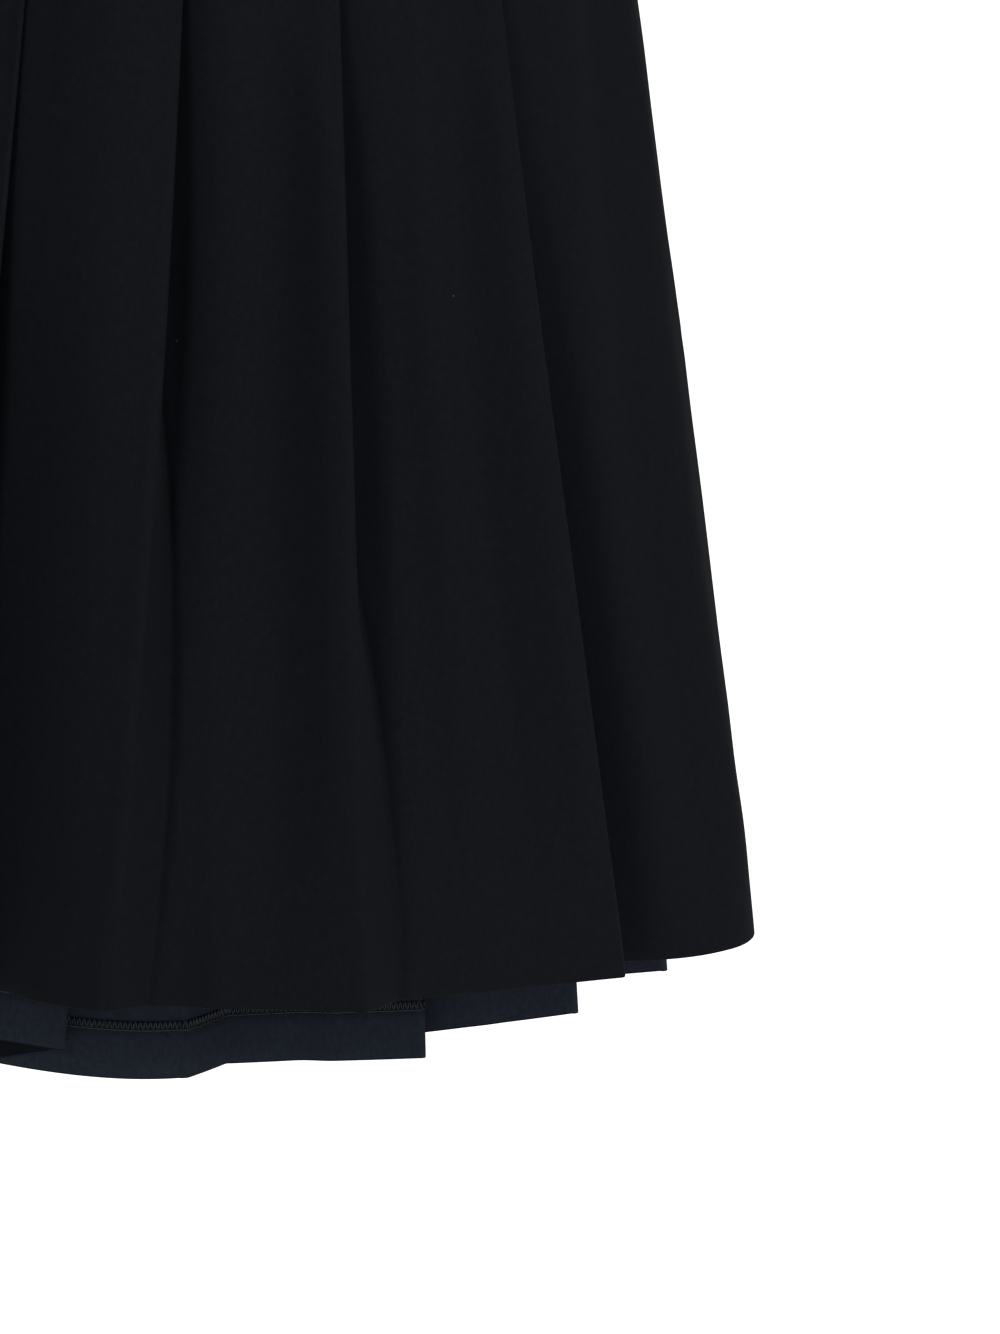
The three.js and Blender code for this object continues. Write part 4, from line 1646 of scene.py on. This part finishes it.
@dataclass
class Studio:
    """A plain pale floor, an even white surround, soft lights and the photograph's camera."""

    eye: tuple[float, float, float] = (0.0, -4.0, 0.08)
    aim: tuple[float, float, float] = (0.122, 0.0, -0.61)
    frame_height: float = 0.667
    floor_down: float = 1.25
    surround: float = 0.3
    floor_glow: float = 0.26
    floor_half: float = 40.0
    floor_colour: int = 0xF4F4F4
    floor_roughness: float = 0.9
    lit_middle: tuple[float, float, float] = (0.0, 0.0, -0.45)
    sensor: float = 36
    farthest: float = 200

    def build(self) -> None:
        """Makes the floor, the surround, the lights and the camera."""
        self.floor()
        self.world()
        for softbox in SOFTBOXES:
            self.light(softbox)
        self.camera()

    def floor(self) -> None:
        """Makes the floor, which glows so that it looks white and still lights the skirt softly."""
        material, tree, shader = new_material("matt_white_paper_floor")
        shader.inputs["Base Color"].default_value = to_linear(self.floor_colour)
        shader.inputs["Roughness"].default_value = self.floor_roughness
        shader.inputs["Emission Color"].default_value = (1, 1, 1, 1)
        strength = self.seen_strength(tree, self.floor_glow)
        tree.links.new(strength, shader.inputs["Emission Strength"])
        size, z = self.floor_half, -self.floor_down
        mesh = bpy.data.meshes.new("floor")
        corners = [(-size, -size, z), (size, -size, z), (size, size, z), (-size, size, z)]
        mesh.from_pydata(corners, [], [(0, 1, 2, 3)])
        mesh.materials.append(material)
        floor = bpy.data.objects.new("floor", mesh)
        bpy.context.scene.collection.objects.link(floor)

    def seen_strength(self, tree: bpy.types.NodeTree, lighting: float) -> bpy.types.NodeSocket:
        """Makes a strength of 1 where it is seen, and a lower one for the light that it gives.

        Args:
            tree: The node tree that it goes in.
            lighting: The lower strength.

        Returns:
            The socket that gives the strength.
        """
        seen = add_node(tree, "ShaderNodeLightPath").outputs["Is Camera Ray"]
        ranges = {"From Min": 0.0, "From Max": 1.0, "To Min": lighting, "To Max": 1.0}
        return add_node(tree, "ShaderNodeMapRange", ranges, {"Value": seen}).outputs[0]

    def world(self) -> None:
        """Makes the white surround."""
        world = bpy.data.worlds.new("white_surround")
        world.use_nodes = True
        tree = world.node_tree
        tree.nodes.clear()
        strength = self.seen_strength(tree, self.surround)
        white = {"Color": (1, 1, 1, 1)}
        background = add_node(tree, "ShaderNodeBackground", white, {"Strength": strength})
        add_node(tree, "ShaderNodeOutputWorld", links={"Surface": background.outputs[0]})
        bpy.context.scene.world = world
        bpy.context.scene.view_settings.view_transform = "Standard"

    def light(self, softbox: Softbox) -> None:
        """Adds a light that faces the skirt.

        Args:
            softbox: The light.
        """
        lamp = bpy.data.lights.new(softbox.name, "AREA")
        lamp.size = softbox.size
        lamp.energy = softbox.power
        self.stand(softbox.name, lamp, softbox.place, self.lit_middle)

    def camera(self) -> None:
        """Adds the camera, with its long side's view set by the height that it frames."""
        data = bpy.data.cameras.new("camera")
        data.sensor_width = self.sensor
        reach = (Vector(self.aim) - Vector(self.eye)).length
        data.lens = data.sensor_width * reach / self.frame_height
        data.clip_end = self.farthest
        bpy.context.scene.camera = self.stand("camera", data, self.eye, self.aim)

    def stand(
        self,
        name: str,
        data: bpy.types.ID,
        place: tuple[float, float, float],
        target: tuple[float, float, float],
    ) -> bpy.types.Object:
        """Puts a light or the camera in the scene, turned to face a point.

        Args:
            name: Its name.
            data: The light or the camera.
            place: Where it stands, in metres.
            target: The point that it faces.

        Returns:
            The new object.
        """
        thing = bpy.data.objects.new(name, data)
        thing.location = place
        thing.rotation_euler = (Vector(target) - Vector(place)).to_track_quat("-Z", "Y").to_euler()
        bpy.context.scene.collection.objects.link(thing)
        return thing


class Held(Enum):
    """How a sheet of cloth is held."""

    HUNG = "hung"
    FOLDED = "folded"
    STRETCHED = "stretched"


@dataclass(frozen=True)
class FlatCut:
    """The size in metres that one piece's cloth was cut to, and how it hangs."""

    node: str
    width: float
    length: float
    area: float
    held: Held
    rests_on: tuple[str, ...]


@dataclass
class Skirt:
    """The whole skirt: its panels, band, zip and fastening."""

    edge_radius: float = 0.15
    edge_segments: int = 2
    sharpest_edge: float = math.radians(35)
    cloth: PleatedCloth = field(default_factory=PleatedCloth)
    pieces: dict[str, tuple[bpy.types.Object, list[bpy.types.Object]]] = field(default_factory=dict)

    def __post_init__(self) -> None:
        """Prepares the finishes."""
        self.wool = WoolSuiting("worsted_wool_suiting").build()
        # The cloth again, painted paler and bluer for the faces seen from inside the skirt and the
        # turned-up hem allowance: painted light standing in for the light that falls there.
        self.painted_light_inside = WoolSuiting("worsted_wool_painted_light_inside", dark=0x21262E, light=0x2B313B).build()
        self.tape = WovenTape("polyester_zip_tape").build()
        # The coil is a moulded filament, smoother than the tape, with a slight shine.
        coil = WovenTape("moulded_polyester_coil", colour=0x20242E, roughness=0.4, rib=3.0)
        self.coil = coil.build()
        self.thread = SewingThread("spun_polyester_thread").build()
        self.overlock_thread = SewingThread("textured_overlock_thread", colour=0x3A3F49).build()
        self.zinc = SmallMetal("enamelled_die_cast_zinc", MetalFinish.ENAMELLED_ZINC).build()
        self.nickel = SmallMetal("nickel_plated_steel", MetalFinish.NICKEL_STEEL).build()

    def panels(self) -> None:
        """Builds the front and back panels."""
        left = LEFT_SEAM_PLEAT * FOLDS.points + FOLDS.seam_point
        right = RIGHT_SEAM_PLEAT * FOLDS.points + FOLDS.seam_point
        front = PleatedPanel("front_panel_cloth", right - self.cloth.columns, left, False, self.cloth)
        back = PleatedPanel("back_panel_cloth", left, right, True, self.cloth)
        sewing = HemSewing()
        for panel, node in ((front, "front_panel"), (back, "back_panel")):
            piece = panel.build(self.wool, self.painted_light_inside)
            self.place(piece, "navy_wool", node)
            side = node.split("_")[0]
            overlock = self.sewn(f"{side}_hem_overlock", sewing.overlock(panel.edge), self.overlock_thread)
            blind = self.sewn(f"{side}_hem_blind_stitches", sewing.blind(panel.edge), self.thread)
            LOG.info("%s is cut %.3f by %.3f m, %.3f square metres", piece.name, *panel.cut())
            self.pieces[node] = (piece, [overlock, blind])

    def place(self, piece: bpy.types.Object, slot: str, node: str | None = None) -> None:
        """Puts a piece on the skirt's body.

        Args:
            piece: The piece.
            slot: The name of a material slot. Not used.
            node: The frame's node that it stands for, if any.
        """
        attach(piece, "skirt")
        if node:
            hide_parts(node)
        LOG.info("%s has %d faces", piece.name, len(piece.data.polygons))

    def sewn(
        self, name: str, strands: tuple[Array, Array], material: bpy.types.Material
    ) -> bpy.types.Object:
        """Makes a piece of sewing on the skirt.

        Args:
            name: The piece's name.
            strands: Its points and faces.
            material: The thread's finish.

        Returns:
            The new piece.
        """
        piece = mesh_object(name, *strands, material)
        self.place(piece, "navy_tape")
        return piece

    def band(self) -> None:
        """Builds the waistband and its stitching."""
        band = Waistband()
        piece = band.build(self.wool)
        self.place(piece, "navy_wool", "waistband")
        stitches = self.sewn("waistband_edge_stitches", band.stitches(), self.thread)
        self.pieces["waistband"] = (piece, [stitches])

    def fastening(self) -> None:
        """Builds the zip's tapes, coil and stitching."""
        zip_ = Zip()
        for side in TapeSide:
            node = f"zip_tape_{side.name.lower()}"
            piece = zip_.tape(self.cloth, side, self.tape)
            self.place(piece, "navy_tape", node)
            self.pieces[node] = (piece, [])
        self.sewn("zip_coil", zip_.coil(self.cloth), self.coil)
        self.sewn("zip_stitches", zip_.stitches(self.cloth), self.thread)

    def hard_pieces(self) -> None:
        """Gives the frame's own small pieces their finishes."""
        finishes = {
            "zip_slider": self.zinc,
            "zip_pull": self.zinc,
            "waist_hook": self.nickel,
            "waist_bar": self.nickel,
        }
        for node, material in finishes.items():
            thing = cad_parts[node]
            thing.data.materials.clear()
            thing.data.materials.append(material)
            bevel = thing.modifiers.new("rounded_edges", "BEVEL")
            bevel.width = self.edge_radius * MM
            bevel.segments = self.edge_segments
            bevel.limit_method = "ANGLE"
            bevel.angle_limit = self.sharpest_edge


def main() -> None:
    """Builds the studio and the skirt's sub-assemblies in order."""
    logging.basicConfig(level=logging.INFO, format="%(name)s: %(message)s")
    Studio().build()
    skirt = Skirt()
    skirt.panels()
    skirt.band()
    skirt.fastening()
    skirt.hard_pieces()


if __name__ == "__main__":
    main()
